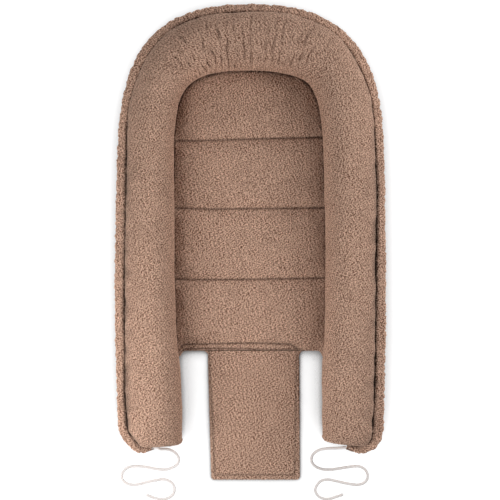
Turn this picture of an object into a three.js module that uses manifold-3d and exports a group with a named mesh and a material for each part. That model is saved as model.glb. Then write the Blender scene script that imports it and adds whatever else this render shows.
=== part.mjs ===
// Infant lounger: a flat quilted bed inside a stuffed roll. The roll goes round
// the head and both sides and is open at the foot, where its two free ends, the
// legs, can be drawn together by a cord in a tunnel round the outer edge. A thin
// flap hangs on the bed's foot edge.
//
// Millimetres. +Z is up, +Y points to the head. The origin lies on the floor, in
// the middle of the width and halfway from the head to the end of the flap.
import * as THREE from 'three';
import { mergeVertices } from 'three/addons/utils/BufferGeometryUtils.js';
import Module from 'manifold-3d';

const wasm = await Module();
wasm.setup();

// Sizes

// Gap between pieces that touch.
const clearance = 0.3;

// Fabrics.
const boucleThickness = 3;
const cottonThickness = 1.2;

// Centreline of the roll, seen from above. It bellies out a little along the
// sides, turns in a high arch round the head and comes in again at the foot.
const rollSpread = 204; // from the middle, where the sides are widest apart
const rollWidestY = -10;
const rollHeadY = 408.2;
const rollFootY = -406; // end faces of the two legs
const rollFootTuck = 9; // how far the ends lie inside the widest place
const sideHandle = 306; // pull of the arch along the sides
const headHandle = 215; // pull of the arch along the head

// Section of the roll. It is nearly round, and its own weight presses it flat.
const rollHalfWidth = 52;
const headGathering = 10; // extra half width where the cover is gathered at the head
const rollHalfHeight = 54;
const rollSag = 4;
const outerSeamZ = 44;
const innerSeamZ = 18.5;

// Foot edge of the bed, where the legs bend and the flap is sewn on.
const footEdgeY = -219.3;

// Ends of the legs.
const legOuterCorner = 30; // radius of the outer corner, seen from above
const legInnerCorner = 10;
const legEdgeRound = 24; // rounding over the top and bottom of the end
const legCoverWrap = THREE.MathUtils.degToRad(72); // how far the cover turns over the end
const legLift = 7.5; // the free part of a leg lies this much higher, clear of the flap
const legLiftStart = 30; // from the foot edge
const legLiftEnd = 75;

// Drawstring tunnel, outside the outer seam.
const tunnelWidth = 17.5;
const tunnelHeadWidth = 14;
const tunnelHeight = 13;
const tunnelWall = 2;
const mouthWidth = 11.6;
const mouthHeight = 10.8;

// Drawstring.
const cordDiameter = 5.5;
const cordDrop = 78; // length of free cord in which it comes down to the floor
const cordFloorGap = 0.05;

// Bed.
const channelCount = 4;
const channelPitch = 144; // from one quilting seam to the next
const bandDepth = 13.3; // flat band between the foot edge and the first stitching
const bandThickness = 9.5;
const seamThickness = 10; // where the channels are stitched down
const crownThickness = 20;
const channelShoulder = 44; // how far a channel takes to rise to its crown
const shoulderLimitShare = 0.45; // and at most this much of a narrow channel
const bedEdgeThickness = 9;
const waddingMargin = 12; // the wadding stops this far inside the bed's edge
const waddingSeamMargin = 5; // and this far from a quilting seam

// Foot flap.
const flapWidth = 189;
const flapLength = 265;
const flapOffset = 8; // it is sewn on a little to the right of the middle
const flapCorner = 8;
const flapWaddingThickness = 1.2;
const flapWaddingMargin = 5;

// Free ends of the drawstring, as they lie: places seen from above, from the
// tunnel's mouth to the cut end.
const leftCordRoute = [
  [-182, -415.5], [-168, -417.5], [-156, -424], [-148, -434], [-146, -443], [-149.5, -453],
  [-159, -459.5], [-172, -463.5], [-186, -463.5], [-200.5, -461], [-217, -458], [-234.5, -457],
  [-250, -459.5], [-259.5, -467], [-263.5, -478], [-260, -487], [-250, -493.5], [-236, -495],
  [-222, -492.5], [-205, -488], [-191, -485.5], [-178, -484], [-166.5, -487], [-158, -494],
  [-155, -504], [-158, -514.5], [-166.5, -521.5], [-179, -525], [-193.5, -523], [-205, -519],
  [-214.5, -515.5],
];
const rightCordRoute = [
  [185.5, -413], [175, -414.5], [161, -416.5], [145.5, -420.5], [134, -427.5], [127, -437],
  [127, -448], [134, -457], [146.5, -462.5], [161.5, -464], [177.5, -462.5], [195, -459.5],
  [211, -457.5], [225, -457.5], [236, -463.5], [241.5, -473], [241, -483], [233.5, -491.5],
  [221, -495], [208.5, -494], [190, -490.5], [175, -487], [159, -484.5], [146.5, -487],
  [137.5, -496], [134, -506.5], [139, -516.5], [149, -523], [162.5, -524], [177.5, -519.5],
  [193, -514.5],
];

// How finely the curves are cut.
const sideSteps = 3;
const archSteps = 14;
const legSteps = 5;
const wrapSteps = 3;
const cornerSteps = 4;
const mouthSteps = 3;
const upperSteps = 12;
const lowerSideSteps = 2;
const lowerFlatSteps = 2;
const lowerOuterSteps = 4;
const tubeSides = 8;
const cordSteps = 32;
const shoulderSteps = 4;

// Materials

const boucle = { color: 0xa08070, roughness: 0.96, metalness: 0 };
const cotton = { color: 0xb39a86, roughness: 0.9, metalness: 0 };
const wadding = { color: 0xefece6, roughness: 1, metalness: 0 };
const cordCotton = { color: 0xe9e2da, roughness: 0.85, metalness: 0 };

// Values that follow from the sizes

const rollMiddleZ = rollHalfHeight - rollSag;
const cordRadius = cordDiameter / 2;
const legTopY = footEdgeY - clearance;
const outerSeamAngle = Math.asin((outerSeamZ - rollMiddleZ) / rollHalfHeight);
const innerSeamAngle = Math.PI - Math.asin((innerSeamZ - rollMiddleZ) / rollHalfHeight);
const flatAngle = Math.acos(rollMiddleZ / rollHalfHeight);
const bottomAngle = 1.5 * Math.PI;
const seamGapAngle = clearance / 2 / rollHalfHeight;
const headReach = rollHeadY + rollHalfWidth + headGathering + clearance + tunnelHeadWidth;
const flapReach = legTopY - flapLength;

// Meshes

const lounger = new THREE.Group();

function addPiece(name, geometry, finish, parent = lounger) {
  const mesh = new THREE.Mesh(geometry, new THREE.MeshStandardMaterial(finish));
  mesh.name = name;
  parent.add(mesh);
  return mesh;
}

// Six times the volume that a list of triangles encloses, negative inside out.
function signedVolume(positions, indices) {
  const corner = (i) => new THREE.Vector3().fromArray(positions, 3 * indices[i]);
  let sum = 0;
  for (let i = 0; i < indices.length; i += 3) {
    sum += corner(i).dot(corner(i + 1).cross(corner(i + 2)));
  }
  return sum;
}

// A closed solid from shared points and triangles, turned to face outwards.
function solidFrom(points, indices) {
  const positions = points.flatMap((p) => [p.x, p.y, p.z]);
  if (signedVolume(positions, indices) < 0) indices.reverse();
  const geometry = new THREE.BufferGeometry();
  geometry.setAttribute('position', new THREE.Float32BufferAttribute(positions, 3));
  geometry.setIndex(indices);
  geometry.computeVertexNormals();
  return geometry;
}

// Joins two rows of points, given by where they start, with a strip of triangles.
// Each square is cut along the same diagonal, so that nested skins stay parallel.
function strip(indices, rowA, rowB, count, closed, inside = false) {
  const last = closed ? count : count - 1;
  for (let i = 0; i < last; i += 1) {
    const j = (i + 1) % count;
    const corners = [rowA + i, rowA + j, rowB + j, rowA + i, rowB + j, rowB + i];
    indices.push(...(inside ? corners.reverse() : corners));
  }
}

// A solid through a row of closed convex rings, filled at both ends.
function loft(rings) {
  const count = rings[0].length;
  const indices = [];
  for (let ring = 1; ring < rings.length; ring += 1) {
    strip(indices, (ring - 1) * count, ring * count, count, true);
  }
  const lastRing = (rings.length - 1) * count;
  for (let i = 2; i < count; i += 1) {
    indices.push(0, i, i - 1, lastRing, lastRing + i - 1, lastRing + i);
  }
  return solidFrom(rings.flat(), indices);
}

// A skin between an outer and an inner row of rings: a tube where the rings are
// closed, and a trough with two long edges where they are open.
function skin(outerRings, innerRings, closed) {
  const count = outerRings[0].length;
  const rows = outerRings.length;
  const inner = rows * count;
  const indices = [];
  for (let ring = 1; ring < rows; ring += 1) {
    const here = ring * count;
    const before = here - count;
    strip(indices, before, here, count, closed);
    strip(indices, inner + before, inner + here, count, closed, true);
    if (!closed) {
      const end = count - 1;
      indices.push(before, here, inner + here, before, inner + here, inner + before);
      indices.push(here + end, before + end, inner + before + end);
      indices.push(here + end, inner + before + end, inner + here + end);
    }
  }
  const lastRow = (rows - 1) * count;
  strip(indices, inner, 0, count, closed);
  strip(indices, lastRow, inner + lastRow, count, closed);
  return solidFrom([...outerRings.flat(), ...innerRings.flat()], indices);
}

function toManifold(geometry) {
  const bare = geometry.clone();
  bare.deleteAttribute('normal');
  bare.deleteAttribute('uv');
  const merged = mergeVertices(bare);
  return new wasm.Manifold(new wasm.Mesh({
    numProp: 3,
    vertProperties: new Float32Array(merged.attributes.position.array),
    triVerts: new Uint32Array(merged.index.array),
  }));
}

function fromManifold(solid) {
  const { vertProperties, triVerts } = solid.getMesh();
  const geometry = new THREE.BufferGeometry();
  geometry.setAttribute('position', new THREE.BufferAttribute(vertProperties, 3));
  geometry.setIndex(new THREE.BufferAttribute(triVerts, 1));
  geometry.computeVertexNormals();
  return geometry;
}

const evenSteps = (from, to, steps) => Array.from(
  { length: steps + 1 },
  (_, i) => from + ((to - from) * i) / steps,
);

const smooth = (value, from, to) => THREE.MathUtils.smoothstep(value, from, to);

// The roll's course, seen from above

// Right-hand side from the widest place down to the free end.
const sideCurve = new THREE.QuadraticBezierCurve(
  new THREE.Vector2(rollSpread, rollWidestY),
  new THREE.Vector2(rollSpread, (rollWidestY + rollFootY) / 2),
  new THREE.Vector2(rollSpread - rollFootTuck, rollFootY),
);

// Right half of the arch, from the widest place up to the head.
const archCurve = new THREE.CubicBezierCurve(
  new THREE.Vector2(rollSpread, rollWidestY),
  new THREE.Vector2(rollSpread, rollWidestY + sideHandle),
  new THREE.Vector2(headHandle, rollHeadY),
  new THREE.Vector2(0, rollHeadY),
);

// A place on the centreline: the point, the direction outwards, the section's
// half width there and how wide the tunnel is.
function station(point, outward, headShare = 0) {
  return {
    point,
    outward,
    halfWidth: rollHalfWidth + headGathering * headShare,
    tunnelWidth: tunnelWidth + (tunnelHeadWidth - tunnelWidth) * headShare,
    lift: 0,
  };
}

const sideShareAt = (y) => (y - rollWidestY) / (rollFootY - rollWidestY);

function sideStation(y) {
  return station(sideCurve.getPoint(sideShareAt(y)), new THREE.Vector2(1, 0));
}

function archStation(share) {
  const along = archCurve.getTangent(share);
  return station(archCurve.getPoint(share), new THREE.Vector2(along.y, -along.x), along.x ** 2);
}

function mirrored(place) {
  return {
    ...place,
    point: new THREE.Vector2(-place.point.x, place.point.y),
    outward: new THREE.Vector2(-place.outward.x, place.outward.y),
  };
}

const rightHalf = [
  ...evenSteps(footEdgeY, rollWidestY, sideSteps).slice(0, -1).map(sideStation),
  ...evenSteps(0, 1, archSteps).map(archStation),
];
const nestCourse = [...rightHalf, ...rightHalf.slice(0, -1).reverse().map(mirrored)];

const legLiftAt = (y) => legLift * smooth(legTopY - y, legLiftStart, legLiftEnd);

// Down the right leg to where its outer corner starts to turn.
const legCourse = evenSteps(legTopY, rollFootY + legOuterCorner, legSteps)
  .map((y) => ({ ...sideStation(y), lift: legLiftAt(y) }));
const legEnd = { ...sideStation(rollFootY), lift: legLift };

// The roll's section

// Angles start at the outer side and go over the top.
const upperAngles = evenSteps(
  outerSeamAngle + seamGapAngle,
  innerSeamAngle - seamGapAngle,
  upperSteps,
);
const lowerAngles = [
  ...evenSteps(innerSeamAngle + seamGapAngle, bottomAngle - flatAngle, lowerSideSteps),
  ...evenSteps(bottomAngle - flatAngle, bottomAngle + flatAngle, lowerFlatSteps).slice(1, -1),
  ...evenSteps(
    bottomAngle + flatAngle,
    2 * Math.PI + outerSeamAngle - seamGapAngle,
    lowerOuterSteps,
  ),
];

// A point of the section at one angle, a given depth under the surface. Turn is
// how far the surface has turned over the leg's end, from 0 to a right angle.
function sectionPoint(place, angle, depth, turn = 0) {
  const across = Math.cos(angle);
  const up = Math.sin(angle);
  const corner = across > 0 ? legOuterCorner : legInnerCorner;
  const turned = turn > 0;
  const shrink = (radius) => (turned ? radius - (radius - depth) * Math.cos(turn) : depth);
  const reach = (place.halfWidth - shrink(corner)) * across;
  const height = rollMiddleZ + (rollHalfHeight - shrink(legEdgeRound)) * up;
  const floor = place.lift + shrink(legEdgeRound);
  const radius = corner * across ** 2 + legEdgeRound * up ** 2;
  const endY = rollFootY + radius - (radius - depth) * Math.sin(turn);
  return new THREE.Vector3(
    place.point.x + place.outward.x * reach,
    turned ? endY : place.point.y + place.outward.y * reach,
    Math.max(height, floor),
  );
}

const ringAt = (place, angles, depth, turn) => (
  angles.map((angle) => sectionPoint(place, angle, depth, turn)));

const wrapTurns = evenSteps(0, legCoverWrap, wrapSteps).slice(1);

// Rings of one surface along the nest, or along the right leg and over its end.
const nestRings = (angles, depth) => nestCourse.map((place) => ringAt(place, angles, depth));
const legRings = (angles, depth) => [
  ...legCourse.map((place) => ringAt(place, angles, depth)),
  ...wrapTurns.map((turn) => ringAt(legEnd, angles, depth, turn)),
];

// The filling lies under both covers, so its depth changes at the seams. Over a
// leg's end it lies under the end panel, which is as thick as the upper cover.
const fillingAngles = [...upperAngles, ...lowerAngles.slice(1, -1)];
const fillingRing = (place, turn) => fillingAngles.map((angle) => {
  const underBoucle = angle <= upperAngles.at(-1) || turn > 0;
  const depth = (underBoucle ? boucleThickness : cottonThickness) + clearance;
  return sectionPoint(place, angle, depth, turn);
});

// Roll over the nest

addPiece(
  'roll_cover_upper',
  skin(nestRings(upperAngles, 0), nestRings(upperAngles, boucleThickness), false),
  boucle,
);
addPiece(
  'roll_cover_lower',
  skin(nestRings(lowerAngles, 0), nestRings(lowerAngles, cottonThickness), false),
  cotton,
);
addPiece('roll_filling', loft(nestCourse.map((place) => fillingRing(place))), wadding);

// Drawstring tunnel and the cord in it

// A ring square to the tunnel's course, at the height of the outer seam.
function tunnelRing({ centre, outward }, width, height, z = outerSeamZ) {
  return Array.from({ length: tubeSides }, (_, i) => {
    const angle = (i * 2 * Math.PI) / tubeSides;
    const reach = (width / 2) * Math.cos(angle);
    return new THREE.Vector3(
      centre.x + outward.x * reach,
      centre.y + outward.y * reach,
      z + (height / 2) * Math.sin(angle),
    );
  });
}

// The cord lies on the floor of the tunnel.
const flatShare = Math.cos(Math.PI / tubeSides);
const cordZ = outerSeamZ - (mouthHeight / 2 - tunnelWall) * flatShare + cordRadius + clearance / 2;

const tunnelPlace = (place) => ({
  centre: place.point.clone().addScaledVector(
    place.outward,
    place.halfWidth + clearance + place.tunnelWidth / 2,
  ),
  outward: place.outward,
  width: place.tunnelWidth,
  height: tunnelHeight,
});

// Round the leg's outer corner, then along its end face to a narrowed mouth.
function tunnelOverEnd() {
  const pivot = new THREE.Vector2(
    legEnd.point.x + legEnd.halfWidth - legOuterCorner,
    rollFootY + legOuterCorner,
  );
  const cornerPlaces = evenSteps(0, Math.PI / 2, cornerSteps).slice(1).map((angle) => {
    const outward = new THREE.Vector2(Math.cos(angle), -Math.sin(angle));
    const reach = legOuterCorner + clearance + tunnelWidth / 2;
    return {
      centre: pivot.clone().addScaledVector(outward, reach),
      outward,
      width: tunnelWidth,
      height: tunnelHeight,
    };
  });
  const mouthPlaces = evenSteps(0, 1, mouthSteps).slice(1).map((share) => {
    const width = THREE.MathUtils.lerp(tunnelWidth, mouthWidth, share ** 2);
    return {
      centre: new THREE.Vector2(
        THREE.MathUtils.lerp(pivot.x, legEnd.point.x, share),
        rollFootY - clearance - width / 2,
      ),
      outward: new THREE.Vector2(0, -1),
      width,
      height: THREE.MathUtils.lerp(tunnelHeight, mouthHeight, share ** 2),
    };
  });
  return [...cornerPlaces, ...mouthPlaces];
}

function tunnelSkin(places) {
  const outer = places.map((place) => tunnelRing(place, place.width, place.height));
  const inner = places.map((place) => tunnelRing(
    place,
    place.width - 2 * tunnelWall,
    place.height - 2 * tunnelWall,
  ));
  return skin(outer, inner, true);
}

const cordRun = (places) => loft(
  places.map((place) => tunnelRing(place, cordDiameter, cordDiameter, cordZ)),
);

const nestTunnel = nestCourse.map(tunnelPlace);
const legTunnel = [...legCourse.map(tunnelPlace), ...tunnelOverEnd()];
addPiece('drawstring_tunnel', tunnelSkin(nestTunnel), boucle);
addPiece('drawstring_run', cordRun(nestTunnel), cordCotton);

// Legs

// The panel that closes a leg's end, inside the edge of the covers.
function endPanel() {
  const rim = [...upperAngles, ...lowerAngles.slice(1, -1)];
  const rimGapTurn = clearance / legInnerCorner;
  const fullTurn = Math.PI / 2;
  return loft([
    ringAt(legEnd, rim, boucleThickness, fullTurn),
    ringAt(legEnd, rim, boucleThickness, legCoverWrap + rimGapTurn),
    ringAt(legEnd, rim, 0, legCoverWrap + rimGapTurn),
    ringAt(legEnd, rim, 0, fullTurn),
  ]);
}

const legFillingRings = [
  ...legCourse.map((place) => fillingRing(place)),
  ...wrapTurns.map((turn) => fillingRing(legEnd, turn)),
];

const legPieces = {
  leg_cover_upper: [
    skin(legRings(upperAngles, 0), legRings(upperAngles, boucleThickness), false),
    boucle,
  ],
  leg_cover_lower: [
    skin(legRings(lowerAngles, 0), legRings(lowerAngles, cottonThickness), false),
    cotton,
  ],
  leg_filling: [loft(legFillingRings), wadding],
  leg_end_panel: [endPanel(), boucle],
  leg_tunnel: [tunnelSkin(legTunnel), boucle],
  leg_cord_run: [cordRun(legTunnel), cordCotton],
};

// The same shape on the other side of the lounger.
function flipped(geometry) {
  const { position } = geometry.attributes;
  const points = Array.from({ length: position.count }, (_, i) => (
    new THREE.Vector3().fromBufferAttribute(position, i).multiply(new THREE.Vector3(-1, 1, 1))));
  return solidFrom(points, Array.from(geometry.index.array));
}

Object.entries(legPieces).forEach(([name, [geometry, finish]]) => {
  addPiece(`right_${name}`, geometry, finish);
  addPiece(`left_${name}`, flipped(geometry), finish);
});

// Free ends of the drawstring

function freeCord(route, side) {
  const mouth = legTunnel.at(-1).centre;
  const straight = [clearance, clearance + cordDiameter].map((reach) => (
    [side * (mouth.x - reach), mouth.y]));
  const places = [...straight, ...route].map(([x, y]) => new THREE.Vector2(x, y));
  let run = 0;
  const points = places.map((place, i) => {
    if (i > 0) run += place.distanceTo(places[i - 1]);
    const floorZ = cordRadius + cordFloorGap;
    return new THREE.Vector3(
      place.x,
      place.y,
      THREE.MathUtils.lerp(cordZ, floorZ, smooth(run, 0, cordDrop)),
    );
  });
  const section = new THREE.Shape(Array.from({ length: tubeSides }, (_, i) => {
    const angle = (i * 2 * Math.PI) / tubeSides;
    return new THREE.Vector2(cordRadius * Math.cos(angle), cordRadius * Math.sin(angle));
  }));
  return new THREE.ExtrudeGeometry(section, {
    steps: cordSteps,
    extrudePath: new THREE.CatmullRomCurve3(points, false, 'centripetal'),
  });
}

addPiece('left_cord_end', freeCord(leftCordRoute, -1), cordCotton);
addPiece('right_cord_end', freeCord(rightCordRoute, 1), cordCotton);

// Bed

// The bed's outline at the inner seam, or as far out as the roll's section is at
// some other height, from the right foot corner round the head to the left one.
function bedOutline(z) {
  const angle = Math.PI - Math.asin((z - rollMiddleZ) / rollHalfHeight);
  return nestCourse.map(({ point, outward, halfWidth }) => (
    point.clone().addScaledVector(outward, halfWidth * Math.cos(angle) - clearance)));
}

// Moves every edge of a convex outline inwards by the same distance.
function inset(outline, distance) {
  const normals = outline.map((point, i) => {
    const along = outline[(i + 1) % outline.length].clone().sub(point).normalize();
    return new THREE.Vector2(-along.y, along.x);
  });
  return outline.map((point, i) => {
    const before = normals.at(i - 1);
    const here = normals[i];
    const reach = distance / (1 + before.dot(here));
    return point.clone().addScaledVector(before, reach).addScaledVector(here, reach);
  });
}

const ringOf = (outline, z) => outline.map(({ x, y }) => new THREE.Vector3(x, y, z));
const prism = (outline, bottom, top) => loft([ringOf(outline, bottom), ringOf(outline, top)]);

const bedEdge = bedOutline(innerSeamZ);
const bedBottomZ = cottonThickness + clearance;
const overrun = 20;

// The padded blank, before quilting: a slab whose top rounds down to its edge.
const edgeInsetShares = [0, 0.1, 0.4, 1];
const edgeRiseShares = [0, 0.4, 0.8, 1];
const blank = loft([
  ringOf(bedEdge, bedBottomZ),
  ...edgeInsetShares.map((share, i) => ringOf(
    inset(bedEdge, share * channelShoulder),
    THREE.MathUtils.lerp(bedEdgeThickness, crownThickness, edgeRiseShares[i]),
  )),
]);

// Quilting seams run across the bed. The last channel runs on to the head seam.
const bandEndY = footEdgeY + bandDepth;
const headSeamY = Math.max(...bedEdge.map(({ y }) => y));
const seamsY = [
  bandEndY,
  ...Array.from({ length: channelCount - 1 }, (_, i) => footEdgeY + channelPitch * (i + 1)),
  headSeamY,
];

// A channel from one seam to the next: it rises and falls on quarter ellipses.
function channelProfile(from, to, low, high) {
  const reach = Math.min(channelShoulder, (to - from) * shoulderLimitShare);
  const shoulder = (seamY, direction) => evenSteps(0, Math.PI / 2, shoulderSteps).map(
    (angle) => new THREE.Vector2(
      seamY + direction * reach * (1 - Math.cos(angle)),
      THREE.MathUtils.lerp(low, high, Math.sin(angle)),
    ),
  );
  return [...shoulder(from, 1), ...shoulder(to, -1).reverse()];
}

// A profile in Y and Z, pushed right across the bed.
function acrossBed(profile) {
  const halfSpan = rollSpread + overrun;
  const geometry = new THREE.ExtrudeGeometry(new THREE.Shape(profile), {
    depth: 2 * halfSpan,
    bevelEnabled: false,
  });
  // The shape's own X and Y become the bed's Y and Z.
  geometry.applyMatrix4(new THREE.Matrix4().makeBasis(
    new THREE.Vector3(0, 1, 0),
    new THREE.Vector3(0, 0, 1),
    new THREE.Vector3(1, 0, 0),
  ));
  geometry.translate(-halfSpan, 0, 0);
  return toManifold(geometry);
}

function quiltedTop() {
  const top = [
    new THREE.Vector2(footEdgeY - overrun, bandThickness),
    new THREE.Vector2(bandEndY, bandThickness),
  ];
  for (let i = 0; i < channelCount; i += 1) {
    top.push(...channelProfile(seamsY[i], seamsY[i + 1], seamThickness, crownThickness));
  }
  const bottom = -overrun;
  return acrossBed([
    new THREE.Vector2(footEdgeY - overrun, bottom),
    ...top,
    new THREE.Vector2(headSeamY + overrun, seamThickness),
    new THREE.Vector2(headSeamY + overrun, bottom),
  ]);
}

// One channel's wadding, or with a gap round it the pocket that it fills.
function waddingSolid(channel, gap) {
  const from = seamsY[channel] + waddingSeamMargin - gap;
  const to = seamsY[channel + 1] - waddingSeamMargin + gap;
  const low = seamThickness - boucleThickness - 2 * clearance + gap;
  const high = crownThickness - boucleThickness - 2 * clearance + gap;
  const bottom = bedBottomZ - (gap > 0 ? overrun : 0);
  const profile = acrossBed([
    new THREE.Vector2(from, bottom),
    ...channelProfile(from, to, low, high),
    new THREE.Vector2(to, bottom),
  ]);
  const inside = toManifold(prism(
    inset(bedEdge, waddingMargin - gap),
    -overrun,
    crownThickness + overrun,
  ));
  // Under the rounded edge of the blank, by the thickness of the fabric.
  const under = toManifold(blank).translate(0, 0, gap - boucleThickness - 2 * clearance)
    .add(toManifold(prism(bedEdge, -overrun, bedEdgeThickness - boucleThickness)));
  return profile.intersect(inside).intersect(under);
}

const pockets = Array.from(
  { length: channelCount },
  (_, channel) => waddingSolid(channel, clearance),
);
const topPanel = pockets.reduce(
  (panel, pocket) => panel.subtract(pocket),
  toManifold(blank).intersect(quiltedTop()),
);
addPiece('base_top_panel', fromManifold(topPanel), boucle);
pockets.forEach((_, channel) => {
  addPiece(`base_wadding_${channel + 1}`, fromManifold(waddingSolid(channel, 0)), wadding);
});

// The underside reaches under the roll, to where the roll's cover meets the floor.
addPiece('base_bottom_panel', prism(bedOutline(cottonThickness), 0, cottonThickness), cotton);

// Foot flap

function flapLayer(margin, bottom, thickness) {
  const halfWidth = flapWidth / 2 - margin;
  const corner = flapCorner - margin / 2;
  const top = legTopY;
  const end = flapReach + margin;
  const outline = new THREE.Shape();
  outline.moveTo(flapOffset - halfWidth, top);
  outline.lineTo(flapOffset - halfWidth, end + corner);
  outline.quadraticCurveTo(flapOffset - halfWidth, end, flapOffset - halfWidth + corner, end);
  outline.lineTo(flapOffset + halfWidth - corner, end);
  outline.quadraticCurveTo(flapOffset + halfWidth, end, flapOffset + halfWidth, end + corner);
  outline.lineTo(flapOffset + halfWidth, top);
  const geometry = new THREE.ExtrudeGeometry(outline, {
    depth: thickness,
    bevelEnabled: false,
    curveSegments: cornerSteps,
  });
  geometry.translate(0, 0, bottom);
  return geometry;
}

const flapWaddingZ = cottonThickness + clearance;
const flapTopZ = flapWaddingZ + flapWaddingThickness + clearance;
addPiece('flap_bottom_layer', flapLayer(0, 0, cottonThickness), cotton);
addPiece(
  'flap_wadding',
  flapLayer(flapWaddingMargin, flapWaddingZ, flapWaddingThickness),
  wadding,
);
addPiece('flap_top_layer', flapLayer(0, flapTopZ, boucleThickness), boucle);

// The origin lies halfway from the head's outer edge to the end of the flap.
lounger.position.y = -(headReach + flapReach) / 2;

export default lounger;
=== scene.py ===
"""Infant lounger in brown bouclé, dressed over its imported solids.

A quilted bed lies inside a stuffed roll that is open at the foot. A cord runs
in a gathered tunnel round the roll's outer seam and comes out at both ends, and
a thin flap hangs on the bed's foot edge.

The shapes are worked out in millimetres, with +Z up and +Y towards the head,
and turned to metres where a mesh is made.
"""
import itertools
import logging
import math
from dataclasses import dataclass, field, replace
from enum import Enum, IntEnum
from typing import Any

import bpy
import numpy as np
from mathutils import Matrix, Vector


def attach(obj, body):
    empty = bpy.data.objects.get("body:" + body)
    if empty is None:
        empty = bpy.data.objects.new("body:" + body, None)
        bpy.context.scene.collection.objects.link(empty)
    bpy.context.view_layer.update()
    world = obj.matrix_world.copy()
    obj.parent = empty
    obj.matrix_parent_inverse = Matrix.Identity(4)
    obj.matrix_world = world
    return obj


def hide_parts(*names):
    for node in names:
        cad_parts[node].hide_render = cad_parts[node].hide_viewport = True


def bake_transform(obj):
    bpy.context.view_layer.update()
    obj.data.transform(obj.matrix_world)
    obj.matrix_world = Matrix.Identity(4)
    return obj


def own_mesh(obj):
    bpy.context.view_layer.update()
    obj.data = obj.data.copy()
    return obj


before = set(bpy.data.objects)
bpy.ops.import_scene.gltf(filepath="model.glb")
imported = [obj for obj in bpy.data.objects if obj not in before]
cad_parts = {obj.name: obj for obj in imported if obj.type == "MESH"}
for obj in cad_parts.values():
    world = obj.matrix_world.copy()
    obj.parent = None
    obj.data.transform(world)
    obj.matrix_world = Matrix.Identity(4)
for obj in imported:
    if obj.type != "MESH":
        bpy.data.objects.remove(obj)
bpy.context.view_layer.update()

MM = 0.001
TURN = 2.0 * math.pi
FRAME_SHIFT_Y = 0.05  # the solids' own shift along Y, in millimetres

Line = tuple[tuple[float, float], ...]
LumpSizes = tuple[tuple[int, float, float], ...]

log = logging.getLogger("lounger")


class Side(Enum):
    """The two halves of the lounger, seen from above with the head at the top."""

    LEFT = -1
    RIGHT = 1

    @property
    def word(self) -> str:
        """The side's name as piece and body names have it."""
        return self.name.lower()

    @property
    def leg(self) -> str:
        """The body of this side's leg."""
        return f"{self.word}_leg"


class Seed(IntEnum):
    """One uneven pattern for each use, so that no two look alike."""

    CURLS = 21
    BRUSHING = 22
    GATHER_WANDER = 31
    GATHER_FOLDS = 32
    SEAM_PUCKERS = 33
    ROLL_LUMPS = 34
    ROLL_SMALL_LUMPS = 35
    GATHER_FADE = 36
    SEAM_WIDTH = 37
    GATHER_SMALL_WANDER = 38
    WRINKLES = 41
    TUNNEL_GATHERS = 51
    TUNNEL_SMALL_GATHERS = 52
    CORD_FRAY = 61
    BED_LUMPS = 71
    BED_SMALL_LUMPS = 72
    BED_PUCKERS = 73
    BED_EDGE = 74
    FLAP_LUMPS = 81
    FLAP_SMALL_LUMPS = 82
    FLAP_EDGE = 83


# Sums on points


def smoothstep(value: np.ndarray, start: float, end: float) -> np.ndarray:
    """Rises smoothly from 0 to 1.

    Args:
        value: Where on the rise.
        start: The value at which it is 0.
        end: The value at which it is 1.

    Returns:
        The height of the rise at each value.
    """
    share = np.clip((value - start) / (end - start), 0.0, 1.0)
    return share * share * (3.0 - 2.0 * share)


def ridge(distance: np.ndarray, width: float) -> np.ndarray:
    """A rounded ridge or groove, 1 in its middle, that is about width wide."""
    return np.exp(-((distance / (0.5 * width)) ** 2))


def fillet(distance: np.ndarray, radius: float) -> np.ndarray:
    """How far a rounded inner corner reaches, by the distance from its one side."""
    over = np.clip(radius - distance, 0.0, radius)
    return radius - np.sqrt(radius**2 - over**2)


def corner_distance(one: np.ndarray, other: np.ndarray) -> np.ndarray:
    """Distance from two edges that meet, less in their corner and 0 beyond either.

    Args:
        one: Distance from the one edge.
        other: Distance from the other.

    Returns:
        One distance for each place.
    """
    one, other = np.maximum(one, 1e-6), np.maximum(other, 1e-6)
    return one * other / np.hypot(one, other)


def run_along(path: np.ndarray) -> np.ndarray:
    """How far along a path each of its points lies."""
    steps = np.linalg.norm(np.diff(path, axis=0), axis=1)
    return np.concatenate([[0.0], np.cumsum(steps)])


def even_run(path: np.ndarray, step: float) -> np.ndarray:
    """Distances along a path, from end to end in even steps."""
    length = run_along(path)[-1]
    return np.linspace(0.0, length, round(length / step) + 1)


def spaced(path: np.ndarray, places: np.ndarray) -> np.ndarray:
    """Points of a path at some distances along it."""
    run = run_along(path)
    return np.stack([np.interp(places, run, column) for column in path.T], axis=-1)


def on_plane(x: np.ndarray, y: np.ndarray | float) -> np.ndarray:
    """Points at Z 0 from their X and Y."""
    return np.stack(np.broadcast_arrays(x, y, 0.0), axis=-1)


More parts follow.
